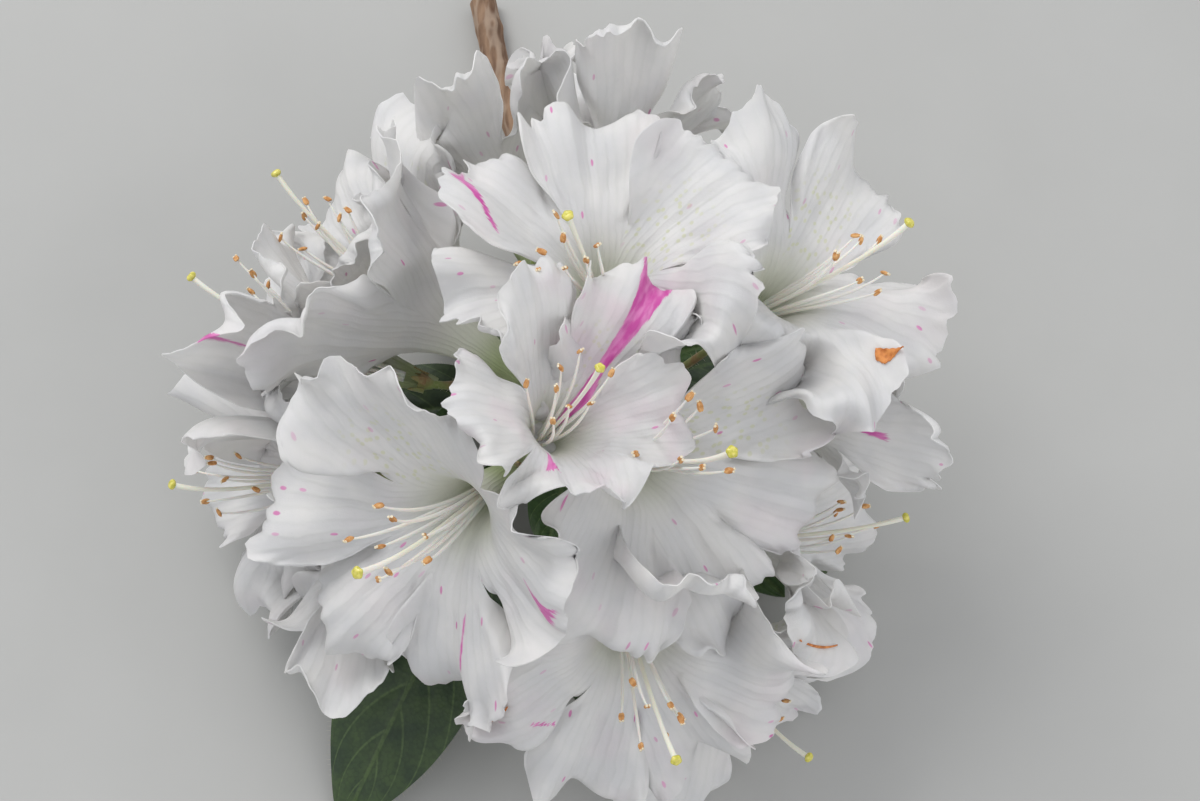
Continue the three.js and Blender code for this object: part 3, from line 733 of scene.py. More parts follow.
        # The rest is a lobe that bends back on its own
        outward = np.array([math.cos(self.azimuth), math.sin(self.azimuth), 0])
        sideways = np.array([-outward[1], outward[0], 0])
        parted = smooth(free / PARTED)[:, None]
        bend = lerp(np.cos(angle) / radius, self.side_curl, parted[:, 0])
        raised = (1 - np.cos(bend * x)) / bend + OVERLAP_TILT * x * parted[:, 0] + height
        normal = -np.cos(angle)[:, None] * outward + np.sin(angle)[:, None] * [0, 0, 1]
        lobe = radius[:, None] * outward + level[:, None] * [0, 0, 1]
        lobe = lobe + (np.sin(bend * x) / bend)[:, None] * sideways + raised[:, None] * normal
        spots = np.stack([x, y, np.full_like(x, self.index)], -1)
        return tube * (1 - parted) + lobe * parted, spots


def petals_of(bloom, number):
    """The petals of a bloom, each with the share of the circle that is its own on either side"""
    order = sorted(range(5), key=lambda i: bloom["petals"][i])

    def half_turn(a, b):
        return math.radians((bloom["petals"][b] - bloom["petals"][a]) % 360 / 2)

    return [
        Petal(bloom, number, i, (half_turn(order[k - 1], i), half_turn(i, order[(k + 1) % 5])))
        for k, i in enumerate(order)
    ]


def neighbours_mean(field):
    """The mean of each value's four neighbours on a grid"""
    padded = np.pad(field, 1, mode="edge")
    return (padded[:-2, 1:-1] + padded[2:, 1:-1] + padded[1:-1, :-2] + padded[1:-1, 2:]) / 4


def press_under(points, back, placed, columns, rows):
    """Pushes a sheet back where it would come through the petals in front of it"""
    depth = np.zeros(len(points))
    for low, high, tree in placed:
        near = np.all((points > low - 2) & (points < high + 2), axis=1)
        for i in np.flatnonzero(near):
            hit = tree.ray_cast(Vector(points[i]), back, PRESS_REACH)
            if hit[0] is not None:
                depth[i] = max(depth[i], hit[3] + CLEARANCE)
    if not depth.any():
        return points
    needed = depth.reshape(rows + 1, columns + 1)
    eased = needed.copy()
    for _ in range(PRESS_ROUNDS):
        eased = np.maximum(needed, neighbours_mean(eased))
    return points + eased.reshape(-1, 1) * np.array(back)


def petal_finish(bloom, number):
    """White tissue with fine veins, a green throat, pink streaks and scattered pink flecks"""
    finish = Finish(f"petal {bloom['name'].replace('_', ' ')}")
    placed = finish.attribute("petal_place")
    x, y, index = finish.parts(placed)
    object_place = finish.place()

    clouds = finish.noise(object_place, 9, 3)
    white = finish.blend(clouds.between(0.3, 0.7), (0.80, 0.80, 0.82, 1), (0.90, 0.89, 0.89, 1))
    cream = finish.blend(y.between(27, 14), white, (0.84, 0.86, 0.75, 1))
    colour = finish.blend(y.between(15, 6), cream, (0.50, 0.60, 0.30, 1))

    # Fine veins fan out from the throat
    fan = x / (y * 0.045 + 0.25) + finish.noise(object_place, 6, 2) * 0.8
    veins = (fan * 3.3).math("SINE").math("ABSOLUTE") ** 6
    colour = finish.blend(veins * 0.1, colour, (0.62, 0.66, 0.6, 1))

    def on_petal(wanted):
        return (index - wanted).math("ABSOLUTE").math("LESS_THAN", 0.5)

    # Yellow-green specks guide bees in along the upper petal
    guide = min(range(5), key=lambda i: abs(bloom["petals"][i] - GUIDE_AZIMUTH))
    specks, lot = finish.cells(finish.vector(x, y * 0.8), 1.5, "2D")
    on_guide = on_petal(guide) * x.math("ABSOLUTE").between(9, 4)
    on_guide = on_guide * y.between(20, 25) * y.between(44, 34) * lot.math("GREATER_THAN", 0.35)
    tint = GUIDE_TINT if bloom["faces"][2] > GUIDE_FACING else 0
    guiding = specks.between(0.3, 0.16) * on_guide * tint
    colour = finish.blend(guiding, colour, (0.64, 0.68, 0.24, 1))

    # Pink streaks and flecks
    blush = finish.noise(object_place, 14, 2).between(0.5, 0.75) * BLUSH.get(bloom["name"], 0.08)
    colour = finish.blend(blush, colour, (0.90, 0.66, 0.78, 1))
    ragged = finish.noise(finish.vector(x, y * 0.22, index), 0.9, 3, 0.65) - 0.5
    frayed = finish.noise(finish.vector(x * 2.4, y * 0.2, index), 0.9, 3) - 0.5
    pink = None
    for petal, start, end, wide_start, wide_end in STREAKS.get(bloom["name"], ()):
        length = end[1] - start[1]
        along = (y + frayed * 5 - start[1]) / length
        middle = along * (end[0] - start[0]) + start[0]
        half = along**3 * (wide_end - wide_start) + wide_start + ragged * 1.1
        beside = half - (x - middle).math("ABSOLUTE")
        ends = along.between(-0.03, 0.06) * along.between(1.06, 0.94)
        streak = beside.between(-0.16, 0.3) * ends * on_petal(petal)
        pink = streak if pink is None else pink.math("MAXIMUM", streak)
    spread = finish.vector(x + index * 61 + number * 37, y * 0.36)
    distance, lot = finish.cells(spread, 3.2, "2D")
    fleck = (distance + ragged * 0.06).between(0.1, 0.055) * y.between(20, 27)
    fleck = fleck * lot.math("GREATER_THAN", 0.85) * (lot.between(0.82, 1) * 0.65 + 0.2)
    pink = fleck if pink is None else pink.math("MAXIMUM", fleck)
    uneven = finish.noise(finish.vector(x, y * 0.3, index), 1.5, 3).between(0.35, 0.68)
    dye = finish.blend(uneven, (0.62, 0.08, 0.38, 1), (0.78, 0.26, 0.56, 1))
    colour = finish.blend(pink, colour, dye)

    skin = finish.noise(object_place, 0.28, 2)
    normal = finish.bump(veins * 0.5 + skin * 0.35 + clouds * 0.5, 0.15)
    face = finish.surface(
        colour, 0.55, normal, Sheen_Weight=0.12, Sheen_Roughness=0.4, Specular_IOR_Level=0.35
    )
    light_through = {"Color": (0.92, 0.91, 0.88, 1), "Normal": normal}
    glow = finish.node("ShaderNodeBsdfTranslucent", inputs=light_through)
    share = 0.36 - pink * 0.26
    return finish.done(finish.node("ShaderNodeMixShader", inputs={0: share, 1: face, 2: glow}))


def make_blooms():
    """Makes the petals, and gives the box and the surface of each bloom's for what lies on them"""
    placed = []
    for number, bloom in enumerate(BLOOMS):
        to_ground = bloom_frame(bloom)
        axis = (to_ground.to_3x3() @ Vector((0, 0, 1))).normalized()
        back = -(axis + from_heart((0, 0, 1)) - from_heart((0, 0, 0))).normalized()
        bm = bmesh.new()
        places = bm.verts.layers.float_vector.new("petal_place")
        corners = bm.loops.layers.float_vector.new("petal_place")
        for petal in petals_of(bloom, number):

            def place(across, up):
                points, spots = petal.points(across, up)
                points = moved(points, to_ground)
                pressed = press_under(points, back, placed, PETAL_COLUMNS, PETAL_ROWS)
                return rest_on_ground(pressed), spots

            sheet(bm, PETAL_COLUMNS, PETAL_ROWS, place, places)

        # Petals of one bloom meet in its tube, so each corner of a face keeps its own petal's place
        for face in bm.faces:
            for loop in face.loops:
                loop[corners] = loop.vert[places]
        bm.verts.layers.float_vector.remove(places)
        bmesh.ops.remove_doubles(bm, verts=bm.verts, dist=0.01)
        crisp_margins(bm)
        points = np.array([vertex.co for vertex in bm.verts])
        placed.append((points.min(0), points.max(0), BVHTree.FromBMesh(bm)))
        name = bloom["name"]
        finish = petal_finish(bloom, number)
        finished(f"petals_{name}", bm, [finish], "petal", [f"bloom_{name}"], PETAL_SHEET)
    return placed


# Rods along curves


def bezier(*knots):
    """A Bezier curve through its control points, as a function from an array of shares to points"""
    knots = [np.array(knot, float) for knot in knots]
    degree = len(knots) - 1

    def at(u):
        terms = [
            math.comb(degree, i) * (u**i * (1 - u) ** (degree - i))[:, None] * knot
            for i, knot in enumerate(knots)
        ]
        return sum(terms)

    return at


def through(points):
    """A smooth curve through points, with its ends and turns as in the solids"""
    points = np.array(points, float)
    chords = np.linalg.norm(np.diff(points, axis=0), axis=1)
    knots = np.concatenate([[0], np.cumsum(np.sqrt(chords))])
    slopes = np.gradient(points, knots, axis=0)

    def at(u):
        place = u * knots[-1]
        k = np.clip(np.searchsorted(knots, place, side="right") - 1, 0, len(knots) - 2)
        span = (knots[k + 1] - knots[k])[:, None]
        t = ((place - knots[k])[:, None]) / span
        return (
            (2 * t**3 - 3 * t**2 + 1) * points[k] + (t**3 - 2 * t**2 + t) * span * slopes[k]
            + (3 * t**2 - 2 * t**3) * points[k + 1] + (t**3 - t**2) * span * slopes[k + 1]
        )

    return at


def unit(rows):
    return rows / np.linalg.norm(rows, axis=1)[:, None]


def directions(curve, u):
    step = 1e-3
    return unit(curve(np.minimum(u + step, 1)) - curve(np.maximum(u - step, 0)))


def heading(curve, before, at):
    """The point of a curve at a share of it, and its direction there from a share before"""
    start, end = curve(np.array([before, at], float))
    return Vector(end), Vector(end - start).normalized()


def rod(bm, curve, rings, sides, rows, relief=None):
    """Adds a closed rod along a curve. rings lists shares along it with the radius at each."""
    shares = [share for share, _ in rings]
    radii = [radius for _, radius in rings]

    def place(around, along):
        # The first and last two rows draw in to a point, so the ends are closed
        row = np.rint(along * rows)
        u = np.clip((row - 2) / (rows - 4), 0, 1)
        drawn_in = np.minimum(np.minimum(row, rows - row) / 2, 1)
        tangent = directions(curve, u)
        normal = unit(np.array([1, 0, 0]) - tangent[:, :1] * tangent)
        third = np.cross(normal, tangent)
        turn = 2 * math.pi * around
        radius = np.interp(u, shares, radii) * drawn_in
        if relief is not None:
            radius = radius + relief(turn, u) * (drawn_in == 1)
        side = np.cos(turn)[:, None] * normal + np.sin(turn)[:, None] * third
        return curve(u) + radius[:, None] * side

    made = sheet(bm, sides, rows, place)
    bmesh.ops.remove_doubles(bm, verts=made, dist=1e-4)


# Stamens and pistils


def stamen_curves(bloom, number):
    """The curves of a bloom's stamens, and last its pistil, in the bloom's frame"""
    low, high = BUTTON_SPAN
    curves = []
    for i in range(STAMENS + 1):
        is_pistil = i == STAMENS
        turn = 2 * math.pi * (i / STAMENS + 0.1 * chance(number, i, 5))
        spread = PISTIL_SPREAD if is_pistil else SPREAD * between(0.35, 1, number, i, 6)
        length = STAMEN_LENGTH * between(0.82, 1.08, number, i, 7)
        if is_pistil:
            length = PISTIL_LENGTH * bloom.get("pistil", 1)
        outward = Vector((math.cos(turn), math.sin(turn), 0))
        root = outward * (0 if is_pistil else 0.6 * BUTTON_RADIUS)
        tip = outward * spread + Vector((*bloom["lean"], 0))
        bow = Vector((between(-1.5, 1.5, number, i, 8), between(-1.5, 1.5, number, i, 9), 0))
        curves.append(bezier(
            root + Vector((0, 0, lerp(low, high, 0.6))),
            root * 2 + Vector((0, 0, THROAT_DEPTH)),
            tip * 0.62 + bow + Vector((0, -SAG, length * 0.74)),
            tip + Vector((0, 0, length)),
        ))
    return curves


def make_stamens():
    filaments, anthers, pores, styles, stigmas = (bmesh.new() for _ in range(5))
    anther = ball("anther", 12, 8, anther_sacs, (ANTHER_RADIUS, ANTHER_RADIUS, ANTHER_LENGTH / 2))
    pore = ball("pore", 10, 6, pore_rim)
    stigma = ball("stigma", 30, 16, stigma_knob, (STIGMA_RADIUS,) * 3)
    for number, bloom in enumerate(BLOOMS):
        to_ground = bloom_frame(bloom)
        size = bloom["size"]
        for i, curve in enumerate(stamen_curves(bloom, number)):

            def on_ground(u, curve=curve):
                return moved(curve(u), to_ground)

            tip, tangent = heading(on_ground, 0.97, 1)
            if i == STAMENS:
                rings = [(0, 0.7 * STYLE_RADIUS), (0.8, STYLE_RADIUS), (1, 1.3 * STYLE_RADIUS)]
                rod(styles, on_ground, [(u, r * size) for u, r in rings], *GRIDS["style"])
                turn = turned_to(tangent, between(0, 6.28, number, 40))
                stamp(stigmas, stigma, Matrix.Translation(tip) @ turn @ Matrix.Scale(size, 4))
            else:
                thick = FILAMENT_RADIUS
                rings = [(0, thick * 1.2), (0.8, thick), (1, 0.5 * thick)]
                rod(filaments, on_ground, [(u, r * size) for u, r in rings], *GRIDS["filament"])
                tilt = Matrix.Rotation(between(0.1, 1.1, number, i, 41), 4, "X")
                turn = turned_to(tangent, between(0, 6.28, number, i, 42)) @ tilt
                seat = Matrix.Translation(tip) @ turn @ Matrix.Scale(size, 4)
                stamp(anthers, anther, seat)
                for side in (-1, 1):
                    end = Vector((side * 0.52 * ANTHER_RADIUS, 0, 0.5 * ANTHER_LENGTH - 0.13))
                    leant = seat @ Matrix.Translation(end) @ Matrix.Rotation(0.3 * side, 4, "Y")
                    stamp(pores, pore, leant)
    names = [f"stamens_{bloom['name']}" for bloom in BLOOMS]
    finished("filaments", filaments, [mottled_finish("filament")], "stamen", names)
    finished("anthers", anthers, [mottled_finish("anther")], "stamen")
    finished("anther_pores", pores, [mottled_finish("anther pore")], "stamen")
    finished("styles", styles, [mottled_finish("style")], "stamen")
    finished("stigmas", stigmas, [mottled_finish("stigma")], "stamen")


def turned_to(direction, spin=0.0):
    """A rotation that takes up to a direction, after a spin about it"""
    return direction.to_track_quat("Z", "Y").to_matrix().to_4x4() @ Matrix.Rotation(spin, 4, "Z")


def stamp(bm, shape, matrix):
    """Adds a copy of a shape to a bmesh, moved by a matrix"""
    first = len(bm.verts)
    bm.from_mesh(shape)
    bm.verts.ensure_lookup_table()
    bmesh.ops.transform(bm, matrix=matrix, verts=bm.verts[first:])


def ball(name, segments, rings, bend, radii=(1, 1, 1)):
    """A ball as a mesh, with each of its points bent and then drawn out to the radii"""
    bm = bmesh.new()
    bmesh.ops.create_uvsphere(bm, u_segments=segments, v_segments=rings, radius=1)
    for vertex in bm.verts:
        vertex.co = bend(*vertex.co)
    bmesh.ops.transform(bm, matrix=Matrix.Diagonal((*radii, 1)), verts=bm.verts)
    put_in_order(bm)
    return mesh_of(name, bm)


def anther_sacs(x, y, z):
    """Bends a ball into an anther's two pollen sacs, with a groove between them on either face"""
    groove = math.exp(-((x / 0.34) ** 2))
    wide = 1.12 - 0.16 * z
    return x * wide, y * 0.85 * (1 - 0.5 * groove), z * (1 - 0.2 * groove)


def pore_rim(x, y, z):
    """Bends a ball into the pale rim that a pollen sac opens with at its end"""
    hollow = 0.9 * max(0, 1 - (x * x + y * y) / 0.35) * (z > 0)
    return 0.27 * x, 0.27 * y, 0.2 * (z - hollow)


def stigma_knob(x, y, z):
    """Bends a ball into a stigma's sticky knob with five shallow lobes"""
    lobes = 1 + 0.07 * math.cos(5 * math.atan2(y, x))
    dimple = 0.22 * math.exp(-((x * x + y * y) / 0.12)) * (z > 0)
    return x * lobes, y * lobes, 0.72 * z - dimple


# Stalks, calyxes and shoots


def stalk_curve(bloom):
    to_ground = bloom_frame(bloom)
    axis = (to_ground.to_3x3() @ Vector((0, 0, 1))).normalized()
    seat = to_ground.translation - axis * STALK_SEAT
    start = from_heart(SHOOTS[bloom["shoot"]]).lerp(from_heart(FORK), STALK_START)
    reach = (seat - start).length
    curve = bezier(start, start.lerp(seat, 0.35), seat - axis * 0.35 * reach, seat)
    return curve, reach, seat, axis


def shoot_curve(tip):
    middle = (tip[0] * 0.62, tip[1] * 0.62, lerp(FORK[2], tip[2], 0.45))
    return bezier(from_heart(FORK), from_heart(middle), from_heart(tip))


def knobbly(key, depth):
    """A relief of shallow bumps and ridges for a rod's side"""

    def relief(turn, u):
        total = 0
        for i in range(5):
            rounds = 2 + i
            phase = 6.28 * chance(key, i, 51)
            total = total + np.sin(rounds * turn + 23 * u * (i + 1) + phase) / (i + 2)
        return depth * total

    return relief


def make_stalks():
    stalks, calyxes, shoots, hairs = (bmesh.new() for _ in range(4))
    for number, bloom in enumerate(BLOOMS):
        curve, reach, seat, axis = stalk_curve(bloom)
        swell = (1 - CALYX_LENGTH / reach, STALK_RADIUS * 1.05)
        rings = [(0, STALK_RADIUS), swell, (1, STALK_RADIUS * 1.6)]
        rod(stalks, curve, rings, *GRIDS["stalk"], knobbly(number, 0.06))
        add_calyx(calyxes, seat, axis, bloom["size"], number)
        for i in range(STALK_HAIRS):
            u = between(0.08, 0.97, number, i, 95)
            middle, tangent = heading(curve, u - 0.01, u)
            around = turned_to(tangent, between(0, 6.28, number, i, 96))
            outward = around.to_3x3() @ Vector((1, 0, 0))
            root = middle + outward * STALK_RADIUS * 0.97
            length = STALK_HAIR * between(0.6, 1.2, number, i, 97)
            add_hair(hairs, root, outward + tangent * 0.5, length)
    for key, (name, tip) in enumerate(SHOOTS.items()):
        curve = shoot_curve(tip)
        rings = [(0, SHOOT_RADIUS), (0.5, SHOOT_RADIUS - 0.2), (0.92, SHOOT_RADIUS + 0.3), (1, 0.9)]
        rod(shoots, curve, rings, *GRIDS["shoot"], knobbly(key + 40, 0.16))
    put_in_order(calyxes)
    names = [f"shoot_{name}" for name in SHOOTS]
    finished("stalks", stalks, [mottled_finish("stalk")], "green_stalk")
    finished("stalk_hairs", hairs, [mottled_finish("hair")], "green_stalk")
    finished("calyxes", calyxes, [mottled_finish("calyx", "stalk")], "green_stalk")
    finished("shoots", shoots, [mottled_finish("shoot bark")], "green_stalk", names)


def add_calyx(bm, seat, axis, size, key):
    """A cup with narrow sepals that clasp the foot of the corolla"""
    turn = Matrix.Translation(seat) @ turned_to(axis) @ Matrix.Scale(size, 4)
    cup = bezier((0, 0, -CALYX_LENGTH), (0, 0, -1), (0, 0, 0.2))
    base = [(0, 0.9), (0.5, 1.7), (0.9, CALYX_RADIUS), (1, CALYX_RADIUS * 0.96)]
    rod(bm, lambda u: moved(cup(u), turn), base, *GRIDS["cup"])
    for i in range(SEPALS):
        around = 2 * math.pi * (i + 0.3 * chance(key, i, 61)) / SEPALS

        def place(across, up):
            half = SEPAL_WIDTH / 2 * (1 - up) ** 0.6
            side = (2 * across - 1) * half
            out = CALYX_RADIUS + 0.12 + 0.5 * up**2 - side**2 * 0.15
            points = np.stack([
                out * math.cos(around) - side * math.sin(around),
                out * math.sin(around) + side * math.cos(around),
                -1.4 + SEPAL_LENGTH * up,
            ], -1)
            return moved(points, turn)

        made = sheet(bm, *GRIDS["sepal"], place)
        faces = list(dict.fromkeys(face for vertex in made for face in vertex.link_faces))
        bmesh.ops.remove_doubles(bm, verts=made, dist=1e-4)
        faces = [face for face in faces if face.is_valid]
        bmesh.ops.solidify(bm, geom=faces, thickness=SEPAL_SHEET)


def make_bud_scales():
    """Papery scales of the opened buds, round the shoots' tips"""
    bm = bmesh.new()
    for key, tip in enumerate(SHOOTS.values()):
        end, direction = heading(shoot_curve(tip), 0.9, 1)
        for i in range(BUD_SCALES):
            spot = end - direction * between(1, 4.2, key, i, 81)
            spin = 2.4 * i + between(0, 0.4, key, i, 82)
            turn = Matrix.Translation(spot) @ turned_to(direction, spin)
            length = between(3.6, 6, key, i, 83)
            flare = between(0.15, 0.5, key, i, 84)

            def place(across, up):
                side = (2 * across - 1) * 1.7 * np.sin(math.pi * (0.2 + 0.8 * up)) ** 0.7
                out = SHOOT_RADIUS + 0.25 + flare * length * up**1.6 - 0.14 * side**2
                return moved(np.stack([out, side, length * up], -1), turn)

            made = sheet(bm, *GRIDS["bud_scale"], place)
            bmesh.ops.remove_doubles(bm, verts=made, dist=1e-3)
    scale = mottled_finish("bud scale")
    finished("bud_scales", bm, [scale], "bark", thickness=BUD_SCALE_SHEET)


def make_twig():
    bm = bmesh.new()
    curve = through([*TWIG_COURSE, from_heart(FORK)])
    rings = [(0, TWIG_RADIUS), (1, TWIG_HEAD_RADIUS)]

    def relief(turn, u):
        length = TWIG_LENGTH * u
        ridges = 0
        for i in range(4):
            sway = np.sin(length * (0.11 + 0.05 * i) + i)
            ridges = ridges + np.sin((5 + 2 * i) * turn + sway * 1.6 + i * 2.1) / (i + 1.5)
        joints = 0
        for i in range(TWIG_JOINTS):
            spot = between(8, TWIG_LENGTH - 4, i, 71)
            facing = np.cos(turn - between(0, 6.28, i, 72))
            ring = np.exp(-(((length - spot) / 1.6) ** 2))
            joints = joints + ring * (0.25 + 0.5 * np.clip(facing, 0, 1))
        return RIDGE_DEPTH * ridges + JOINT_DEPTH * joints

    rod(bm, curve, rings, *GRIDS["twig"], relief)
    finished("twig_bark", bm, [bark_finish()], "bark", ["twig"])

    end, outward = heading(curve, 0.004, 0)
    turn = Matrix.Translation(end + outward * 0.06) @ turned_to(outward)
    cut = bmesh.new()

    def place(around, out):
        angle = 2 * math.pi * around
        radius = out * CUT_SHARE * TWIG_RADIUS * (1 + 0.03 * np.sin(3 * angle + 1))
        x, y = radius * np.cos(angle), radius * np.sin(angle)
        height = 0.12 * (1 - out**2) + 0.04 * np.sin(9 * radius * np.cos(angle))
        points = np.stack([x, y, height], -1)
        return moved(points, turn), points

    places = cut.verts.layers.float_vector.new("cut_place")
    made = sheet(cut, *GRIDS["cut"], place, places)
    bmesh.ops.remove_doubles(cut, verts=made, dist=1e-4)
    finished("twig_cut", cut, [cut_finish()], "bark", thickness=CUT_SHEET)


def cut_finish():
    """Pale wood with growth rings about its pith"""
    finish = Finish("cut wood")
    place = finish.attribute("cut_place")
    radius = finish.node("ShaderNodeVectorMath", dict(operation="LENGTH"), {0: place}, 1)
    uneven = finish.noise(place, 1.2, 3)
    rings = ((radius + uneven * 0.3) * 9).math("SINE") * 0.5 + 0.5
    colour = finish.blend(rings, (0.62, 0.50, 0.30, 1), (0.74, 0.64, 0.43, 1))
    colour = finish.blend(radius.between(0.75, 0.5), colour, (0.36, 0.22, 0.10, 1))
    colour = finish.blend(radius.between(2.5, 2.75), colour, (0.30, 0.33, 0.12, 1))
    return finish.done(finish.surface(colour, 0.8, finish.bump(rings + uneven, 0.06)))


def bark_finish():
    finish = Finish("bark")
    place = finish.place()
    long_way = finish.scaled(place, (1, 0.25, 1))
    patches = finish.noise(long_way, 2.2, 4)
    cracks, _ = finish.cells(long_way, 1.6)
    colour = finish.blend(patches.between(0.3, 0.7), (0.12, 0.062, 0.035, 1), (0.30, 0.19, 0.12, 1))
    colour = finish.blend(cracks.between(0.5, 0.8) * 0.6, colour, (0.38, 0.29, 0.22, 1))
    relief = patches * 0.6 + cracks * 0.5
    return finish.done(finish.surface(colour, 0.82, finish.bump(relief, 0.5)))


# Leaves


def add_leaf(bm, curve, width, number, grid, under=None):
    """Adds a leaf with its stalk along a curve, and gives the rows of its points. Each point keeps
    how far it is from the midrib, and where it is between the side veins."""
    layers = bm.verts.layers.float_vector
    places = layers.get("leaf_place")
    if places is None:
        places = layers.new("leaf_place")

    def place(across, up):
        s = 2 * across - 1
        tangent = directions(curve, up)
        side = unit(np.cross(tangent, [0, 0, 1]))
        normal = np.cross(side, tangent)
        blade = np.clip((up - LEAF_STALK_SHARE) / (1 - LEAF_STALK_SHARE), 0, 1)
        half = width / 2 * np.sin(math.pi * np.minimum(blade**1.1, 1)) ** 0.75
        half = np.maximum(half, 0.7 * (1 - blade))
        vein = LEAF_VEINS * (blade - 0.2 * np.abs(s) - 0.14 * s * s) + 0.5 * (s > 0)
        groove = np.exp(-((np.abs(vein % 1 - 0.5) / 0.09) ** 2)) * smooth(1.3 - np.abs(s))
        quilt = 0.5 * np.cos(2 * math.pi * vein) * smooth(np.abs(s) * 3) * (1 - s * s)
        midrib = 0.5 * np.exp(-((s * half / 0.8) ** 2))
        wave = 0.03 * width * np.abs(s) ** 3 * np.sin(blade * 17 + 2.4 * np.sign(s) + number)
        shaped = np.where(blade > 0, 1, 0) * smooth(blade / 0.15)
        rise = LEAF_FOLD * half * np.abs(s) * (1 - 0.45 * s * s) + wave
        rise = shaped * (rise + 0.3 * quilt - 0.2 * groove - midrib)
        points = curve(up) + (s * half)[:, None] * side + rise[:, None] * normal
        spots = np.stack([s * half, vein, np.zeros_like(vein)], -1)
        return points if under is None else under(points), spots

    columns, rows = grid
    made = sheet(bm, columns, rows, place, places)
    crisp_margins(bm)
    return np.array([vertex.co for vertex in made]).reshape(rows + 1, columns + 1, 3)


def make_leaves():
    faces = [leaf_finish("leaf blade", *BLADE), leaf_finish("leaf underside", *UNDERSIDE)]
    hairs = bmesh.new()
    for number, leaf in enumerate(LEAVES):
        foot = from_heart(leaf["foot"])
        tip = Vector((*leaf["tip"], 0.8))
        crest = foot.lerp(tip, 0.5) + Vector((0, 0, leaf["rise"]))
        bm = bmesh.new()
        rows = add_leaf(bm, bezier(foot, crest, tip), leaf["width"], number, GRIDS["leaf"])
        for margin, inner in ((rows[:, 0], rows[:, 2]), (rows[:, -1], rows[:, -3])):
            hairy = margin[14:-3]
            outward = (margin - inner)[14:-3]
            forward = (np.roll(margin, -1, axis=0) - margin)[14:-3]
            for i, root in enumerate(hairy):
                lean = Vector(outward[i]).normalized() + Vector(forward[i]).normalized() * 0.6
                lean.z += between(-0.3, 0.5, number, i, 92)
                length = LEAF_HAIR * between(0.5, 1.3, number, i, 93)
                add_hair(hairs, Vector(root), lean, length)
        name = leaf["name"]
        finished(f"blade_{name}", bm, faces, "leaf", [f"leaf_{name}"], LEAF_SHEET)
    finished("leaf_hairs", hairs, [mottled_finish("hair")], "leaf")


def make_young_leaves(placed):
    """Small leaves that stand between the stalks, under the blooms"""
    upper = leaf_finish("young leaf", *YOUNG_BLADE)
    lower = leaf_finish("young underside", *YOUNG_UNDERSIDE)
    down = from_heart((0, 0, -1)) - from_heart((0, 0, 0))
    grid = GRIDS["young_leaf"]

    def under(points):
        return rest_on_ground(press_under(points, down, placed, *grid))

    bm = bmesh.new()
    for number, (foot, tip, width) in enumerate(YOUNG_LEAVES):
        foot, tip = from_heart(foot), from_heart(tip)
        crest = foot.lerp(tip, 0.5) + Vector((0, 0, YOUNG_LEAF_RISE))
        add_leaf(bm, bezier(foot, crest, tip), width, number + 20, grid, under)
    finished("young_leaves", bm, [upper, lower], "leaf", thickness=LEAF_SHEET)


def add_hair(bm, root, direction, length):
    made = bmesh.ops.create_cone(
        bm, cap_ends=True, segments=3, radius1=HAIR_RADIUS, radius2=0.2 * HAIR_RADIUS, depth=length
    )["verts"]
    middle = Matrix.Translation(root + direction.normalized() * length * 0.45)
    bmesh.ops.transform(bm, matrix=middle @ turned_to(direction.normalized()), verts=made)


def leaf_finish(name, dark, light, rib):
    finish = Finish(name)
    x, vein, _ = finish.parts(finish.attribute("leaf_place"))
    place = finish.place()
    patches = finish.noise(place, 5, 3)
    colour = finish.blend(patches.between(0.3, 0.7), dark, light)
    net, _ = finish.cells(place, 0.9)
    from_vein = (vein.math("FRACT") - 0.5).math("ABSOLUTE")
    lateral = from_vein.between(0.07, 0.015)
    midrib = x.math("ABSOLUTE").between(0.75, 0.3)
    ribs = lateral.math("MAXIMUM", midrib)
    colour = finish.blend(ribs * 0.55, colour, rib)
    darkest = (*(0.5 * value for value in dark[:3]), 1)
    colour = finish.blend(net.between(0.45, 0.7) * 0.3, colour, darkest)
    normal = finish.bump(net * 0.4 + patches * 0.2, 0.18)
    return finish.done(finish.surface(colour, 0.5, normal, Sheen_Weight=0.15))


# Withered bits that have fallen on the petals


def stance():
    """The camera's place, with the directions from its aim back to it and up its view"""
    back = Vector((0, -math.cos(CAMERA_ELEVATION), math.sin(CAMERA_ELEVATION)))
    up = Vector((0, math.sin(CAMERA_ELEVATION), math.cos(CAMERA_ELEVATION)))
    target = Vector((AIM_RIGHT, 0, HEART_HEIGHT)) + up * AIM_UP
    return target + back * CAMERA_DISTANCE, back, up


def petal_at(pixel, placed):
    """The point of a petal that the photograph shows at a pixel, and its normal there"""
    eye, back, up = stance()
    focal = LENS / SENSOR_WIDTH * PHOTO_SIZE[0]
    right = (pixel[0] - PHOTO_SIZE[0] / 2) / focal
    rise = (PHOTO_SIZE[1] / 2 - pixel[1]) / focal
    sight = (up * rise - back + Vector((right, 0, 0))).normalized()
    hits = [tree.ray_cast(eye, sight) for _, _, tree in placed]
    point, normal, _, _ = min((hit for hit in hits if hit[0] is not None), key=lambda hit: hit[3])
    return point, -normal if normal.dot(sight) > 0 else normal


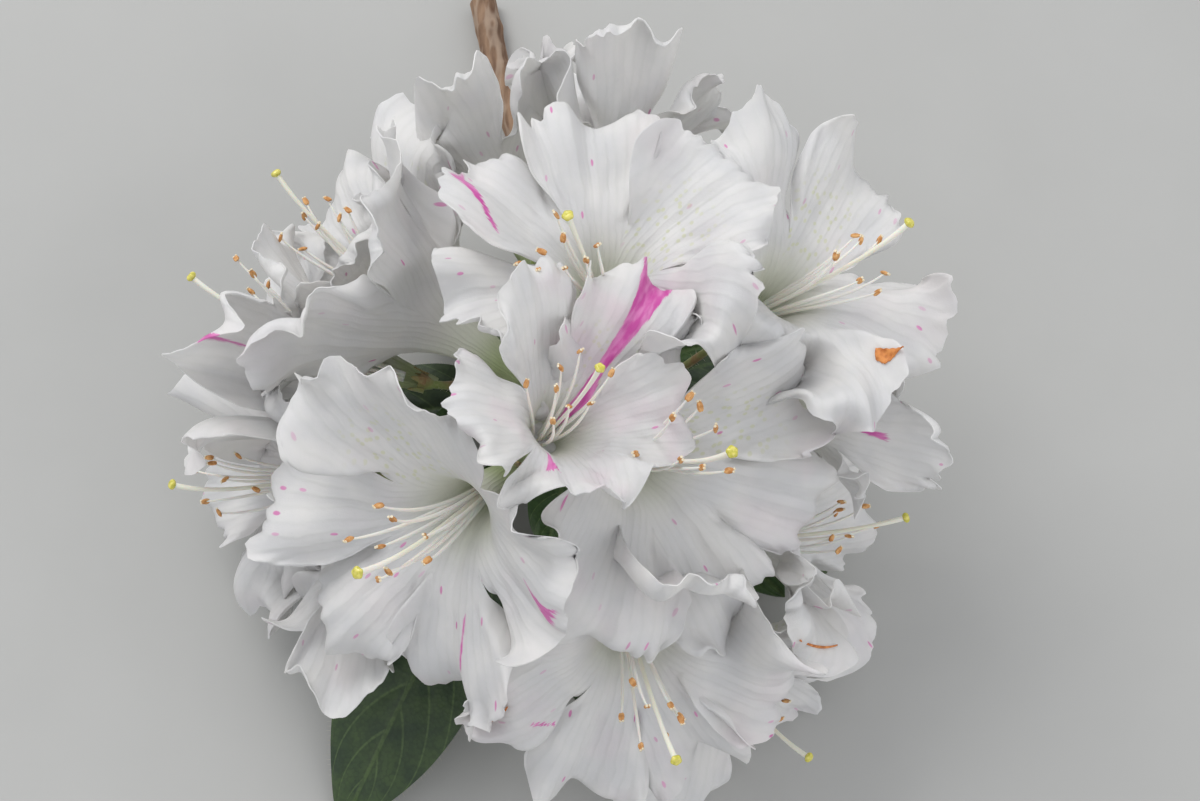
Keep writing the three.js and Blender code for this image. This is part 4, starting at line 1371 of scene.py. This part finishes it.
def make_fallen_bits(placed):
    point, normal = petal_at(SCALE_PIXEL, placed)
    along = Vector((1, 0, 0)) - normal * normal.x
    axes = (along.normalized(), normal.cross(along).normalized(), normal)
    turn = Matrix(axes).transposed().to_4x4()
    turn.translation = point

    def place(across, up):
        u, v = 2 * across - 1, 2 * up - 1
        # A ragged wedge: broad along its top, with a point below, and drawn out to the right
        top = 1.1 + 0.25 * u * u + 0.08 * np.sin(15 * u)
        bottom = -2.1 * (1 - np.abs(u + 0.45) ** 0.8 / 1.35) + 0.12 * np.sin(23 * u)
        bottom = lerp(bottom, top, 0.85 * smooth((u + 0.2) / 1.2))
        height = 0.35 + 0.9 * (u + 0.1) ** 2 + 0.15 * np.sin(5 * u + 3 * v)
        return moved(np.stack([3.2 * u, lerp(bottom, top, up), height], -1), turn)

    scale = bmesh.new()
    sheet(scale, *GRIDS["fallen_scale"], place)
    finish = mottled_finish("fallen scale")
    finished("fallen_scale", scale, [finish], "bark", thickness=FALLEN_SCALE_SHEET)

    threads = bmesh.new()
    rings = [(0, 0.2), (0.5, 0.32), (1, 0.16)]
    for pixels in THREAD_PIXELS:
        spots = [petal_at(pixel, placed) for pixel in pixels]
        knots = [point + normal * 0.4 for point, normal in spots]
        rod(threads, bezier(*knots), rings, *GRIDS["fallen_thread"])
    finish = mottled_finish("fallen thread", "fallen scale")
    finished("fallen_threads", threads, [finish], "bark")


# Floor, light and camera


def make_floor():
    bm = bmesh.new()
    bmesh.ops.create_grid(bm, x_segments=1, y_segments=1, size=FLOOR_REACH)
    floor = in_scene("floor", mesh_of("floor", bm))
    finish = Finish("floor")
    speckle = finish.noise(finish.place(), 40, 3)
    colour = finish.blend(speckle, (0.42, 0.42, 0.41, 1), (0.46, 0.46, 0.45, 1))
    floor.data.materials.append(finish.done(finish.surface(colour, 0.8)))


def add_light(name, place, size, watts, colour):
    light = bpy.data.lights.new(name, "AREA")
    light.size = size
    light.energy = watts
    light.color = colour
    lamp = in_scene(name, light)
    lamp.location = place
    lamp.rotation_euler = (Vector(place) - Vector(LIT_PLACE)).to_track_quat("Z", "Y").to_euler()


def make_light():
    world = bpy.data.worlds.new("studio")
    bpy.context.scene.world = world
    world.use_nodes = True
    background = world.node_tree.nodes["Background"]
    background.inputs["Color"].default_value = SKY_COLOUR
    background.inputs["Strength"].default_value = SKY_STRENGTH
    for light in LIGHTS:
        add_light(**light)
    bpy.context.scene.view_settings.view_transform = "Standard"


def make_camera():
    camera = bpy.data.cameras.new("camera")
    camera.lens = LENS
    camera.sensor_width = SENSOR_WIDTH
    camera.clip_start = 0.01
    viewer = in_scene("camera", camera)
    eye, back, _ = stance()
    viewer.location = to_part @ eye
    viewer.rotation_euler = back.to_track_quat("Z", "Y").to_euler()
    bpy.context.scene.camera = viewer


placed_petals = make_blooms()
make_stamens()
make_stalks()
make_bud_scales()
make_twig()
make_leaves()
make_young_leaves(placed_petals)
make_fallen_bits(placed_petals)
make_floor()
make_light()
make_camera()
